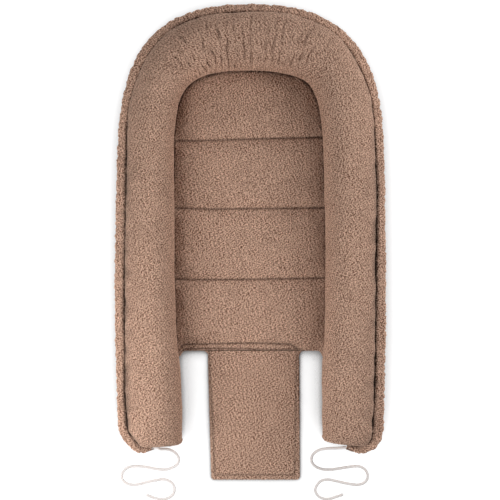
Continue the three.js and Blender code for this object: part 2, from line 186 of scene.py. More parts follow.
class Unevenness:
    """Seeded gradient noise in three dimensions, the same in every run."""

    LATTICE = 256  # cells before it repeats, a power of 2

    def __init__(self, seed: int) -> None:
        """Draws the lattice.

        Args:
            seed: Picks one lattice out of many.
        """
        dice = np.random.default_rng(seed)
        self.order = np.tile(dice.permutation(self.LATTICE), 3)
        slopes = dice.normal(size=(self.LATTICE, 3))
        self.slopes = slopes / np.linalg.norm(slopes, axis=1, keepdims=True)

    def at(self, points: np.ndarray, cell: float) -> np.ndarray:
        """Height of the noise, about -0.6 to 0.6.

        Args:
            points: Places in millimetres, the last axis X, Y and Z.
            cell: Size of one lattice cell in millimetres.

        Returns:
            One height for each place.
        """
        scaled = points / cell
        base = np.floor(scaled)
        part = scaled - base
        cells = base.astype(np.int64)
        fade = part**3 * (part * (part * 6.0 - 15.0) + 10.0)
        total = np.zeros(points.shape[:-1])
        for corner in itertools.product((0, 1), repeat=3):
            x, y, z = np.moveaxis(cells + corner, -1, 0) & (self.LATTICE - 1)
            drawn = self.order[self.order[self.order[x] + y] + z]
            height = (self.slopes[drawn] * (part - corner)).sum(axis=-1)
            total += height * np.where(corner, fade, 1.0 - fade).prod(axis=-1)
        return total


def lumps(points: np.ndarray, sizes: LumpSizes) -> np.ndarray:
    """Soft lumps or waves of more than one size.

    Args:
        points: Places in millimetres.
        sizes: Seed, height and spacing of each set of lumps.

    Returns:
        One height for each place.
    """
    return sum(height * Unevenness(seed).at(points, cell) for seed, height, cell in sizes)


class Curls:
    """A fine curly relief: short waves of mixed lengths, from all directions."""

    def __init__(self, seed: int, shortest: float, longest: float, count: int = 130) -> None:
        """Draws the waves.

        Args:
            seed: Picks one pattern out of many.
            shortest: Length of the shortest waves in millimetres.
            longest: Length of the longest waves in millimetres.
            count: How many waves are added up.
        """
        dice = np.random.default_rng(seed)
        ways = dice.normal(size=(count, 3))
        self.ways = ways / np.linalg.norm(ways, axis=1, keepdims=True)
        # Short waves are as many more as fit side by side on a surface.
        self.turns = np.sqrt(dice.uniform(longest**-2, shortest**-2, count))
        self.phases = dice.uniform(0.0, TURN, count)

    def at(self, points: np.ndarray, out: np.ndarray) -> np.ndarray:
        """Height of the relief.

        Args:
            points: Places in millimetres, the last axis X, Y and Z.
            out: Unit vectors out of the surface at the places. Waves along them
                would look stretched on the surface, so they count for little.

        Returns:
            One height for each place, with a spread of 1 about 0.
        """
        total = np.zeros(points.shape[:-1])
        power = np.full(points.shape[:-1], 1e-6)
        for way, turns, phase in zip(self.ways, self.turns, self.phases):
            share = (1.0 - (out @ way) ** 2) ** 3
            total += share * np.cos(points @ (way * TURN * turns) + phase)
            power += 0.5 * share**2
        return total / np.sqrt(power)


@dataclass
class Grid:
    """A surface as rows and columns of points in millimetres.

    Its outer face is the one from which columns turn to rows counter-clockwise.
    """

    points: np.ndarray
    closed: bool = False
    mirrored: bool = False

    def normals(self) -> np.ndarray:
        """Unit vectors out of the surface.

        Returns:
            One vector for each point.
        """
        along = np.gradient(self.points, axis=0)
        if self.closed:
            across = np.roll(self.points, -1, axis=1) - np.roll(self.points, 1, axis=1)
        else:
            across = np.gradient(self.points, axis=1)
        out = np.cross(across, along)
        out /= np.maximum(np.linalg.norm(out, axis=2, keepdims=True), 1e-9)
        return -out if self.mirrored else out

    def raised(self, height: np.ndarray) -> "Grid":
        """The surface with each point moved out by its height."""
        return replace(self, points=self.points + self.normals() * height[..., None])

    def on_side(self, side: Side) -> "Grid":
        """The surface, made for the right, on the side that is asked for."""
        flip = side is Side.LEFT
        return replace(self, points=self.points * (side.value, 1.0, 1.0), mirrored=flip)

    def to_object(self, name: str, **marks: np.ndarray) -> bpy.types.Object:
        """Makes the mesh.

        Args:
            name: Name of the piece.
            marks: Values for each point that its material reads, by name.

        Returns:
            The new piece, smooth shaded, in metres.
        """
        rows, columns = self.points.shape[:2]
        index = np.arange(rows * columns).reshape(rows, columns)
        if self.closed:
            index = np.concatenate([index, index[:, :1]], axis=1)
        corners = [index[:-1, :-1], index[:-1, 1:], index[1:, 1:], index[1:, :-1]]
        if self.mirrored:
            corners.reverse()
        faces = np.stack(corners, axis=-1).reshape(-1, 4)
        return mesh_object(name, self.points.reshape(-1, 3), faces, **marks)


def thin_panel(x: np.ndarray, y: np.ndarray, under_z: np.ndarray, over_z: float) -> Grid:
    """A thin flat panel, closed at its sides.

    Args:
        x: X of its places, rows by columns from right to left.
        y: Y of each row.
        under_z: Z of its underside.
        over_z: Z of its top.

    Returns:
        The panel as one closed surface.
    """
    under = np.stack(np.broadcast_arrays(x, y, under_z), axis=-1)
    over = under[:, ::-1] * (1.0, 1.0, 0.0) + (0.0, 0.0, over_z)
    return Grid(np.concatenate([under, over], axis=1), closed=True)


def put(name: str, data: bpy.types.ID) -> bpy.types.Object:
    """Puts a new object that holds some data into the scene.

    Args:
        name: Name of the object.
        data: Its mesh, lamp or camera.

    Returns:
        The new object.
    """
    thing = bpy.data.objects.new(name, data)
    bpy.context.scene.collection.objects.link(thing)
    return thing


def mesh_object(
    name: str, points: np.ndarray, faces: np.ndarray, **marks: np.ndarray
) -> bpy.types.Object:
    """Makes one smooth-shaded mesh object.

    Args:
        name: Name of the piece.
        points: Its points in millimetres.
        faces: Its faces, as rows of point numbers.
        marks: Values for each point that its material reads, by name.

    Returns:
        The new piece, in metres, in the scene.
    """
    placed = (points + (0.0, FRAME_SHIFT_Y, 0.0)) * MM
    mesh = bpy.data.meshes.new(name)
    mesh.from_pydata(placed.tolist(), [], faces.tolist())
    mesh.validate()
    mesh.shade_smooth()
    for mark, values in marks.items():
        layer = mesh.attributes.new(mark, "FLOAT", "POINT")
        layer.data.foreach_set("value", values.reshape(-1).astype(np.float32))
    return put(name, mesh)


def sweep(
    path: np.ndarray, radius: np.ndarray, sides: int, height_share: np.ndarray | float = 1.0
) -> Grid:
    """A round or flattened skin along a path.

    Args:
        path: Points along the middle.
        radius: Radius at each point and side, rows by sides.
        sides: How many points go round.
        height_share: Height of the section against its width, one for each row.

    Returns:
        The closed skin, its rows along the path.
    """
    along = np.gradient(path, axis=0)
    along /= np.linalg.norm(along, axis=1, keepdims=True)
    level = np.cross(along, (0.0, 0.0, 1.0))
    level /= np.linalg.norm(level, axis=1, keepdims=True)
    upright = np.cross(along, level)
    turn = np.linspace(0.0, TURN, sides, endpoint=False)
    aside = level[:, None] * (np.cos(turn) * radius)[..., None]
    rise = upright[:, None] * (np.sin(turn) * radius * height_share)[..., None]
    return Grid(path[:, None] + aside + rise, closed=True)


# Materials


def linear(srgb_hex: int) -> tuple[float, float, float, float]:
    """Turns an sRGB hex colour to linear light.

    Args:
        srgb_hex: Colour as 0xRRGGBB.

    Returns:
        Red, green, blue and full alpha.
    """
    shares = [((srgb_hex >> shift) & 0xFF) / 255.0 for shift in (16, 8, 0)]
    light = [c / 12.92 if c <= 0.04045 else ((c + 0.055) / 1.055) ** 2.4 for c in shares]
    return (light[0], light[1], light[2], 1.0)


def add_node(
    tree: bpy.types.NodeTree,
    kind: str,
    settings: dict[str, Any] | None = None,
    inputs: dict[str | int, Any] | None = None,
) -> bpy.types.Node:
    """Adds a node with its settings, values and links.

    Args:
        tree: The node tree it goes into.
        kind: Blender's name for the node.
        settings: The node's own properties.
        inputs: For each input, a value, or the socket or node that feeds it.

    Returns:
        The new node.
    """
    node = tree.nodes.new(kind)
    for name, value in (settings or {}).items():
        setattr(node, name, value)
    for name, value in (inputs or {}).items():
        if isinstance(value, bpy.types.Node):
            value = value.outputs[0]
        if isinstance(value, bpy.types.NodeSocket):
            tree.links.new(value, node.inputs[name])
        else:
            node.inputs[name].default_value = value
    return node


def new_tree(name: str) -> tuple[bpy.types.Material, bpy.types.NodeTree]:
    """Starts a material.

    Args:
        name: Name of the material.

    Returns:
        The material and its empty node tree.
    """
    material = bpy.data.materials.new(name)
    material.use_nodes = True
    material.node_tree.nodes.clear()
    return material, material.node_tree


def finish_cloth(
    tree: bpy.types.NodeTree, colour: bpy.types.NodeSocket, relief: bpy.types.Node,
    strength: float, depth: float, settings: dict[str, Any],
) -> None:
    """Ends a cloth's nodes with its relief, its shader and its output.

    Args:
        tree: The material's node tree.
        colour: The socket that gives the colour.
        relief: The node that gives the height of the loops or threads.
        strength: How much of the relief shows.
        depth: Depth of the relief in millimetres.
        settings: The shader's own numbers and colours.
    """
    bump = add_node(
        tree, "ShaderNodeBump", {}, {"Strength": strength, "Distance": depth * MM, "Height": relief}
    )
    shader = add_node(
        tree, "ShaderNodeBsdfPrincipled", {}, {"Base Color": colour, "Normal": bump, **settings}
    )
    add_node(tree, "ShaderNodeOutputMaterial", {}, {"Surface": shader})


@dataclass(frozen=True)
class Boucle:
    """Bouclé knit: a looped polyester and wool yarn that curls on the face.

    The eye sees short curly worms of lit yarn with dark gaps between them, no gloss, and a lighter
    rim where the loops are seen from the side. The dark of the gaps is shade painted into the
    colour.
    """

    shortest_curl: float = 3.3
    longest_curl: float = 9.0
    curl_height: float = 1.7
    curl_share: float = 0.30  # of the height for one spread of the curls
    brushing: float = 0.7
    brushed_patch: float = 32.0
    loop_spacing: float = 2.0
    loop_share: float = 2.6
    gap_level: float = 1.2
    tip_level: float = 2.3
    dyed_patch: float = 60.0
    dye_spread: float = 0.05  # how far the dye is off at most, as a share
    # How far the crease mark's painted shade darkens the colour at most.
    crease_shade: float = 0.93
    # Painted shade: gap is the colour painted as shade down between the curls, tip the colour of
    # their lit tops.
    gap: int = 0x5C341E
    tip: int = 0xEAC2A9
    relief: float = 0.6
    relief_depth: float = 1.0
    roughness: float = 0.95
    sheen: float = 0.28
    sheen_colour: int = 0xE6C1AA

    def raise_pile(
        self, surface: Grid, share: float | np.ndarray = 1.0
    ) -> tuple[Grid, np.ndarray]:
        """Lets the yarn stand up out of a surface in curls.

        Args:
            surface: The cloth without its pile.
            share: How much of the full pile stands, everywhere or by point.

        Returns:
            The surface with its pile, and how high the yarn stands by point,
            from 0 in the gaps between the curls to 1 on top of them.
        """
        out = surface.normals()
        curls = Curls(Seed.CURLS, self.shortest_curl, self.longest_curl).at(surface.points, out)
        # It lies flatter in some places than in others.
        patches = Unevenness(Seed.BRUSHING).at(surface.points, self.brushed_patch)
        brushed = 1.0 + self.brushing * patches
        pile = np.clip(0.5 + self.curl_share * brushed * curls, 0.0, 1.0)
        return surface.raised((pile - 0.5) * self.curl_height * share), pile

    def material(self) -> bpy.types.Material:
        """Makes the material, which reads two marks: pile, which paints shade low between the curls,
        and the crease mark, which paints shade in seams, grooves and other shaded places and paints
        light where it is below 0.

        Returns:
            The new material.
        """
        material, tree = new_tree("boucle_knit")
        place = add_node(tree, "ShaderNodeTexCoord").outputs["Object"]
        pile, crease = [
            add_node(tree, "ShaderNodeAttribute", {"attribute_name": mark}).outputs["Fac"]
            for mark in ("pile", "crease")
        ]
        # Single loops of the yarn between the curls that the mesh has.
        loops = add_node(
            tree, "ShaderNodeTexNoise", {},
            {"Vector": place, "Scale": 1.0 / (self.loop_spacing * MM), "Detail": 1.0},
        )
        # The yarn takes the dye a little unevenly.
        dye = add_node(
            tree, "ShaderNodeTexNoise", {},
            {"Vector": place, "Scale": 1.0 / (self.dyed_patch * MM), "Detail": 3.0},
        )
        # Painted shade: the colour runs from the gap colour, painted shade low between the curls and
        # loops, to the tip colour on top of them.
        standing = add_node(
            tree, "ShaderNodeMath", {"operation": "MULTIPLY_ADD"},
            {0: loops, 1: self.loop_share, 2: pile},
        )
        from_gap = add_node(
            tree, "ShaderNodeMapRange", {},
            {0: standing, 1: self.gap_level, 2: self.tip_level, 3: 0.0, 4: 1.0},
        )
        yarn = add_node(
            tree, "ShaderNodeMix", {"data_type": "RGBA"},
            {0: from_gap, 6: linear(self.gap), 7: linear(self.tip)},
        )
        dyed = add_node(
            tree, "ShaderNodeMapRange", {},
            {0: dye, 1: 0.3, 2: 0.7, 3: 1.0 - self.dye_spread, 4: 1.0 + self.dye_spread},
        )
        # Painted shade: the crease mark darkens the dyed colour, and lightens it where the mark is
        # below 0.
        creased = add_node(
            tree, "ShaderNodeMath", {"operation": "MULTIPLY_ADD"},
            {0: crease, 1: -self.crease_shade, 2: dyed},
        )
        colour = add_node(
            tree, "ShaderNodeVectorMath", {"operation": "SCALE"},
            {0: yarn.outputs[2], 3: creased},
        )
        finish_cloth(tree, colour.outputs[0], loops, self.relief, self.relief_depth, {
            "Roughness": self.roughness,
            "Specular IOR Level": 0.2,
            "Sheen Weight": self.sheen,
            "Sheen Roughness": 0.5,
            "Sheen Tint": linear(self.sheen_colour),
        })
        return material


@dataclass(frozen=True)
class Poplin:
    """Cotton poplin, plain woven and piece dyed, on the underside.

    The eye sees a smooth matt cloth with a fine square weave.
    """

    thread_spacing: float = 5.655  # drawn far coarser than the real 0.3 mm, or it would not show
    slub_spacing: float = 14.0
    colour: int = 0xB39A86
    shade: int = 0x9A8270
    roughness: float = 0.85

    def material(self) -> bpy.types.Material:
        """Makes the material.

        Returns:
            The new material.
        """
        material, tree = new_tree("cotton_poplin")
        place = add_node(tree, "ShaderNodeTexCoord").outputs["Object"]
        # Two sets of threads cross at right angles. A unit of the node is 20 radians.
        scale = TURN / (20.0 * self.thread_spacing * MM)
        threads = [
            add_node(
                tree, "ShaderNodeTexWave", {"wave_type": "BANDS", "bands_direction": direction},
                {"Vector": place, "Scale": scale, "Distortion": 0.4, "Detail": 1.0},
            )
            for direction in ("X", "Y")
        ]
        weave = add_node(
            tree, "ShaderNodeMath", {"operation": "MULTIPLY"},
            {0: threads[0].outputs[1], 1: threads[1].outputs[1]},
        )
        slubs = add_node(
            tree, "ShaderNodeTexNoise", {},
            {
                "Vector": place, "Scale": 1.0 / (self.slub_spacing * MM),
                "Detail": 4.0, "Roughness": 0.6,
            },
        )
        tone = add_node(
            tree, "ShaderNodeMath", {"operation": "MULTIPLY_ADD"}, {0: weave, 1: 0.5, 2: slubs}
        )
        colour = add_node(
            tree, "ShaderNodeMix", {"data_type": "RGBA"},
            {0: tone, 6: linear(self.shade), 7: linear(self.colour)},
        )
        finish_cloth(tree, colour.outputs[2], weave, 0.4, 0.2, {
            "Roughness": self.roughness,
            "Specular IOR Level": 0.3,
            "Sheen Weight": 0.08,
        })
        return material


@dataclass(frozen=True)
class CottonYarn:
    """Twisted cotton: the off-white drawstring, or the brown sewing thread.

    The eye sees matt strands that wind round each other, darker between them.
    """

    name: str = "cotton_cord"
    colour: int = 0xF6EFEB
    shade: int = 0xF0E7E3
    fibre_spacing: float = 0.8
    fuzz: float = 0.8
    roughness: float = 0.85

    def material(self) -> bpy.types.Material:
        """Makes the material, which reads the mark strand, 1 on top of a strand.

        Returns:
            The new material.
        """
        material, tree = new_tree(self.name)
        place = add_node(tree, "ShaderNodeTexCoord").outputs["Object"]
        strand = add_node(tree, "ShaderNodeAttribute", {"attribute_name": "strand"})
        fibres = add_node(
            tree, "ShaderNodeTexNoise", {},
            {"Vector": place, "Scale": 1.0 / (self.fibre_spacing * MM), "Detail": 3.0},
        )
        # Painted shade: the cord is darker between its strands, where the mark strand is low; the
        # fibres give the yarn's own uneven tone.
        tone = add_node(
            tree, "ShaderNodeMath", {"operation": "MULTIPLY_ADD"},
            {0: fibres, 1: 0.5, 2: strand.outputs["Fac"]},
        )
        lit = add_node(
            tree, "ShaderNodeMapRange", {}, {0: tone, 1: 0.2, 2: 1.0, 3: 0.0, 4: 1.0}
        )
        colour = add_node(
            tree, "ShaderNodeMix", {"data_type": "RGBA"},
            {0: lit, 6: linear(self.shade), 7: linear(self.colour)},
        )
        finish_cloth(tree, colour.outputs[2], fibres, 0.3, 0.3, {
            "Roughness": self.roughness,
            "Specular IOR Level": 0.3,
            "Sheen Weight": self.fuzz,
            "Sheen Roughness": 0.6,
            "Sheen Tint": linear(self.colour),
            "Subsurface Weight": 0.6,
            "Subsurface Radius": (1.0, 1.0, 1.0),
            "Subsurface Scale": 2.0 * MM,
        })
        return material


def dress(piece: bpy.types.Object, material: bpy.types.Material) -> None:
    """Gives a piece its material.

    Args:
        piece: The new piece.
        material: Its material.
    """
    piece.data.materials.clear()
    piece.data.materials.append(material)


def stand_for(piece: bpy.types.Object, fill: float, *nodes: str) -> None:
    """Hides the solids that a padded piece replaces.

    Args:
        piece: The padded piece. It is not used.
        fill: How tight it is stuffed. It is not used.
        nodes: The solids.
    """
    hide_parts(*nodes)


@dataclass
class Fabrics:
    """The materials, made once, and how pieces are cut from them."""

    boucle: Boucle
    boucle_material: bpy.types.Material
    poplin: bpy.types.Material
    cord: bpy.types.Material
    thread: bpy.types.Material

    def knit(
        self, name: str, surface: Grid, crease: np.ndarray, share: float | np.ndarray = 1.0
    ) -> bpy.types.Object:
        """Makes a piece of bouclé.

        Args:
            name: Name of the piece.
            surface: The cloth without its pile.
            crease: How creased it is at each point, and how much shade is painted there; below 0,
                light is painted.
            share: How much of the full pile stands.

        Returns:
            The dressed piece.
        """
        cloth, pile = self.boucle.raise_pile(surface, share)
        piece = cloth.to_object(name, pile=pile, crease=crease)
        dress(piece, self.boucle_material)
        return piece

    def cotton(self, name: str, surface: Grid) -> bpy.types.Object:
        """Makes a piece of poplin.

        Args:
            name: Name of the piece.
            surface: The cloth.

        Returns:
            The dressed piece.
        """
        piece = surface.to_object(name)
        dress(piece, self.poplin)
        return piece


# The roll's course and section


@dataclass
class Places:
    """Places along the right half of the roll, one value of each for each place."""

    x: np.ndarray
    y: np.ndarray
    out_x: np.ndarray
    out_y: np.ndarray
    half_width: np.ndarray
    tunnel_width: np.ndarray
    run: np.ndarray

    def at(self, run: np.ndarray) -> "Places":
        """The places at given distances from the head."""
        values = {name: np.interp(run, self.run, value) for name, value in vars(self).items()}
        return Places(**values)

    def run_at(self, y: float) -> float:
        """How far from the head the roll comes down to a given Y."""
        return float(np.interp(-y, -self.y, self.run))

    def beside(self, reach: np.ndarray) -> tuple[np.ndarray, np.ndarray]:
        """X and Y of points beside the course.

        Args:
            reach: How far outwards, by place, or by place and point across.

        Returns:
            X and Y of the points.
        """
        shape = (-1,) + (1,) * (reach.ndim - 1)
        x, y, out_x, out_y = (
            value.reshape(shape) for value in (self.x, self.y, self.out_x, self.out_y)
        )
        return x + out_x * reach, y + out_y * reach


@dataclass(frozen=True)
class SideFit:
    """How one hand-made side differs from the even course, in millimetres.

    Each line gives how far something stands further out at some Y: the roll's
    inner side towards the bed, its outer side, and the groove by the tunnel.
    """

    inner: Line
    outer: Line
    groove: Line
    end_slant: float
    corner_tuck: float
    mouth_skew: float

    @staticmethod
    def along(line: Line, y: np.ndarray) -> np.ndarray:
        """A line's value at each Y, smoothed over its corners.

        Args:
            line: Y and value of its corners.
            y: Where it is wanted.

        Returns:
            One value for each Y.
        """
        places, values = zip(*line)
        shifts = (-18.0, -6.0, 6.0, 18.0)
        return sum(np.interp(y + shift, places, values) for shift in shifts) / len(shifts)


LEFT_FIT = SideFit(
    inner=(
        (-400.0, 6.0), (-350.0, 8.0), (-290.0, 9.0), (-235.0, 7.0), (-200.0, 2.0), (-60.0, -1.0),
        (190.0, -2.5), (250.0, -6.0), (295.0, -8.0), (315.0, -6.0), (340.0, 0.0),
    ),
    outer=(
        (-400.0, 0.0), (-60.0, 0.0), (60.0, -2.0), (120.0, -4.0), (300.0, -4.0), (400.0, -1.5),
    ),
    groove=(
        (-400.0, 0.0), (-350.0, 4.0), (-285.0, 5.0), (-225.0, 1.0), (-165.0, 1.0), (-135.0, 3.0),
        (-105.0, 0.0), (80.0, 0.0), (110.0, 1.0), (200.0, 2.0), (230.0, 4.0), (290.0, 4.5),
        (330.0, 0.0),
    ),
    end_slant=1.5,
    corner_tuck=7.0,
    mouth_skew=6.0,
)
RIGHT_FIT = SideFit(
    inner=(
        (-400.0, -5.0), (-360.0, -1.0), (-300.0, 1.0), (-235.0, 3.0), (-200.0, -2.0),
        (-60.0, -1.5), (60.0, 0.0), (110.0, 2.0), (270.0, 2.0), (330.0, 0.0),
    ),
    outer=(
        (-440.0, 5.0), (-330.0, 3.0), (-60.0, 1.0), (100.0, -1.0), (160.0, -1.5), (300.0, 0.0),
    ),
    groove=(
        (-400.0, 0.0), (-375.0, -3.0), (-285.0, 0.0), (-225.0, 0.0), (-165.0, -2.0),
        (-135.0, 0.0), (-15.0, 0.5), (20.0, 3.5), (60.0, 2.0), (110.0, 4.5), (165.0, 2.0),
        (230.0, 2.0), (300.0, 4.0), (350.0, 0.0),
    ),
    end_slant=9.0,
    corner_tuck=-2.0,
    mouth_skew=12.0,
)


@dataclass
class RollShape:
    """Sizes of the stuffed roll; they repeat those of its solids."""

    spread: float = 204.0
    widest_y: float = -10.0
    head_y: float = 408.2
    foot_y: float = -406.0
    foot_tuck: float = 9.0
    side_handle: float = 306.0
    head_handle: float = 215.0
    half_width: float = 52.0
    head_gathering: float = 10.0
    half_height: float = 54.0
    middle_z: float = 50.0
    outer_seam_z: float = 44.0
    inner_seam_z: float = 18.5
    foot_edge_y: float = -219.3
    outer_corner: float = 30.0
    inner_corner: float = 10.0
    edge_round: float = 24.0
    cover_wrap: float = math.radians(72.0)
    leg_lift: float = 7.5
    lift_from: float = 30.0
    lift_to: float = 75.0
    tunnel_width: float = 17.5
    tunnel_head_width: float = 14.0
    tunnel_height: float = 13.0
    clearance: float = 0.3
    head_shift: float = -4.5  # the head's inner side stands further back than the course
    head_shift_from: float = 250.0
    head_shift_to: float = 340.0
    slant_from: float = 320.0
    slant_to: float = 402.0
    end_stretch: float = 90.0
    groove_reach: float = 18.0
    tuck_slack: float = 60.0
    seam_patch: float = 24.0
    seam_unevenness: float = 0.8
    fine_seam: float = 0.4  # how much narrower the seam's groove is at the head
    fine_seam_from: float = 130.0
    fine_seam_to: float = 280.0
    end_shade: float = 0.65  # how dark the leg's end is over the tunnel
    shade_fade: float = 10.0
    shade_full: float = 72.0
    shade_top: float = 92.0
    bend_start_y: float = -190.0
    bend_end_y: float = -360.0
    arch_points: int = 900
    side_points: int = 500
    fits: dict[Side, SideFit] = field(
        default_factory=lambda: {Side.LEFT: LEFT_FIT, Side.RIGHT: RIGHT_FIT}
    )

    @property
    def outer_angle(self) -> float:
        """Angle of the section at its outer seam."""
        return math.asin((self.outer_seam_z - self.middle_z) / self.half_height)

    def inner_angle_at(self, z: float) -> float:
        """Angle of the section where its inner side has a given Z."""
        return math.pi - math.asin((z - self.middle_z) / self.half_height)

    @property
    def inner_angle(self) -> float:
        """Angle of the section at its inner seam."""
        return self.inner_angle_at(self.inner_seam_z)

    def course(self) -> Places:
        """The right half of the centreline: an arch, and a side that runs down.

        Returns:
            Its places from the head to the leg's end.
        """
        share = np.linspace(1.0, 0.0, self.arch_points)
        back = 1.0 - share
        weights = np.stack([share**3, 3 * back * share**2, 3 * back**2 * share, back**3], axis=-1)
        arch = weights @ np.array([
            (0.0, self.head_y),
            (self.head_handle, self.head_y),
            (self.spread, self.widest_y + self.side_handle),
            (self.spread, self.widest_y),
        ])
        along = np.gradient(arch, axis=0)
        along /= np.linalg.norm(along, axis=1, keepdims=True)
        along[0] = (1.0, 0.0)
        down = np.linspace(0.0, 1.0, self.side_points)[1:]
        side_x = self.spread - self.foot_tuck * down**2
        side_y = self.widest_y + (self.foot_y - self.widest_y) * down
        course = np.concatenate([arch, np.stack([side_x, side_y], axis=-1)])
        gathering = np.concatenate([along[:, 0] ** 2, 0.0 * down])
        narrowing = (self.tunnel_head_width - self.tunnel_width) * gathering
        return Places(
            x=course[:, 0],
            y=course[:, 1],
            out_x=np.concatenate([-along[:, 1], np.ones_like(down)]),
            out_y=np.concatenate([along[:, 0], np.zeros_like(down)]),
            half_width=self.half_width + self.head_gathering * gathering,
            tunnel_width=self.tunnel_width + narrowing,
            run=run_along(course),
        )

    def inner_edge(self, angle: float) -> tuple[np.ndarray, np.ndarray]:
        """X and Y of the line on the inner side that an angle of the section draws.

        Args:
            angle: The angle.

        Returns:
            The line, a clearance towards the bed.
        """
        places = self.course()
        return places.beside(places.half_width * math.cos(angle) - self.clearance)

    def seam_width(self, points: np.ndarray) -> np.ndarray:
        """How wide the groove over the tunnel's seam is: uneven, and fine at the head.

        Args:
            points: Places on the side that is built.

        Returns:
            The width's share of its usual one, for each place.
        """
        uneven = Unevenness(Seed.SEAM_WIDTH).at(points * (1.0, 1.0, 0.0), self.seam_patch)
        at_head = smoothstep(points[..., 1], self.fine_seam_from, self.fine_seam_to)
        return (1.0 + self.seam_unevenness * uneven) * (1.0 - self.fine_seam * at_head)

    def shade_over_tunnel(self, z: np.ndarray) -> np.ndarray:
        """How dark the leg's end is: most just over the tunnel, and not below it.

        Args:
            z: Z of the places.

        Returns:
            One shade for each place.
        """
        above = smoothstep(z, self.outer_seam_z - self.shade_fade, self.outer_seam_z)
        return self.end_shade * above * smoothstep(z, self.shade_top, self.shade_full)

    def lift(self, y: np.ndarray) -> np.ndarray:
        """How high the underside lies over the floor."""
        below = self.foot_edge_y - self.clearance - y
        return self.leg_lift * smoothstep(below, self.lift_from, self.lift_to)

    def bend(self, piece: bpy.types.Object, side: Side) -> None:
        """Bakes the piece's placement into its mesh.

        Args:
            piece: The piece.
            side: The leg's side. It is not used.
        """
        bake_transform(piece)

    def fitted(self, points: np.ndarray, outer_share: np.ndarray, side: Side) -> np.ndarray:
        """Moves points of the right half by what one side differs.

        Args:
            points: Places of the even course.
            outer_share: 1 at the roll's outer side and 0 at its inner side.
            side: The side that the points are for.

        Returns:
            The moved places, still on the right half.
        """
        fit = self.fits[side]
        x, y = points[..., 0], points[..., 1]
        inner_share = 1.0 - outer_share
        near_end = smoothstep(-y, self.slant_from, self.slant_to)
        head = smoothstep(y, self.head_shift_from, self.head_shift_to) * inner_share
        moved = points.copy()
        moved[..., 0] += fit.along(fit.outer, y) * outer_share
        moved[..., 0] -= fit.along(fit.inner, y) * inner_share
        moved[..., 1] += fit.end_slant * inner_share * near_end - self.head_shift * head
        # The groove between the roll and its tunnel wanders.
        course = self.course()
        outer_x, outer_y = course.beside(course.half_width)
        to_groove = x - np.interp(-y, -outer_y, outer_x)
        moved[..., 0] += fit.along(fit.groove, y) * outer_share * ridge(to_groove, self.groove_reach)
        # The leg's outer corner is drawn in, most at 45 degrees.
        corner_x = self.spread - self.foot_tuck + self.half_width - self.outer_corner
        beside = np.clip(x - corner_x, 0.0, None)
        beyond = np.clip(self.foot_y + self.outer_corner - y, 0.0, None)
        diagonal = 2.0 * beside * beyond / (beside**2 + beyond**2 + self.tuck_slack)
        moved[..., 0] -= 0.2 * fit.corner_tuck * diagonal
        moved[..., 1] += 0.9 * fit.corner_tuck * diagonal
        return moved

    def skin(self, angles: np.ndarray, step: float, side: Side, over_end: bool) -> Grid:
        """A part of the roll's skin, from the head to the leg's end.

        Args:
            angles: Angles of the section that the skin covers.
            step: Spacing of the rows in millimetres.
            side: The side whose shape it takes.
            over_end: Whether the skin turns over the leg's end.

        Returns:
            The skin, made for the right half.
        """
        course = self.course()
        last = self.foot_y + self.outer_corner
        body_end = course.run_at(last)
        rows = max(2, round(body_end / step))
        here = course.at(np.linspace(0.0, body_end, rows + 1))
        across, up = np.cos(angles), np.sin(angles)
        x, y = here.beside(here.half_width[:, None] * across)
        # The last stretch reaches to where each line of the skin starts to turn.
        stretch_from = self.foot_y + self.end_stretch
        reach = stretch_from - self.foot_y - self._end_radius(angles)
        share = np.clip((stretch_from - y) / (stretch_from - last), 0.0, None)
        y = np.where(share > 0, stretch_from - share * reach, y)
        z = np.maximum(self.middle_z + self.half_height * up, self.lift(y))
        body = np.stack([x, y, np.broadcast_to(z, x.shape)], axis=-1)
        # A row beyond the middle, so that the two halves meet without an edge.
        parts = [body[1:2] * (-1.0, 1.0, 1.0), body]
        if over_end:
            parts.append(self.end_skin(angles, step, 0.0, self.cover_wrap)[1:])
        points = np.concatenate(parts)
        outer_share = np.broadcast_to((across + 1.0) / 2.0, points.shape[:2])
        return Grid(self.fitted(points, outer_share, side))

    def _end_corner(self, angles: np.ndarray) -> np.ndarray:
        """Radius of the leg's corner on the outer and on the inner side."""
        return np.where(np.cos(angles) > 0, self.outer_corner, self.inner_corner)

    def _end_radius(self, angles: np.ndarray) -> np.ndarray:
        """How far before the leg's end each line of the skin starts to turn."""
        corner = self._end_corner(angles) * np.cos(angles) ** 2
        return corner + self.edge_round * np.sin(angles) ** 2

    def end_skin(self, angles: np.ndarray, step: float, start: float, end: float) -> np.ndarray:
        """Rows of points over the rounded end of the leg.

        Args:
            angles: Angles of the section.
            step: Spacing of the rows in millimetres.
            start: How far the first row has turned over the end.
            end: How far the last row has turned.

        Returns:
            The rows, before one side's own fit.
        """
        rows = max(2, round(self.edge_round * (end - start) / step))
        turn = np.linspace(start, end, rows + 1)[:, None]
        tuck = 1.0 - np.cos(turn)
        reach = (self.half_width - self._end_corner(angles) * tuck) * np.cos(angles)
        high = (self.half_height - self.edge_round * tuck) * np.sin(angles)
        z = np.maximum(self.middle_z + high, self.leg_lift + self.edge_round * tuck)
        y = self.foot_y + self._end_radius(angles) * (1.0 - np.sin(turn))
        return np.stack([self.course().x[-1] + reach, y, z], axis=-1)


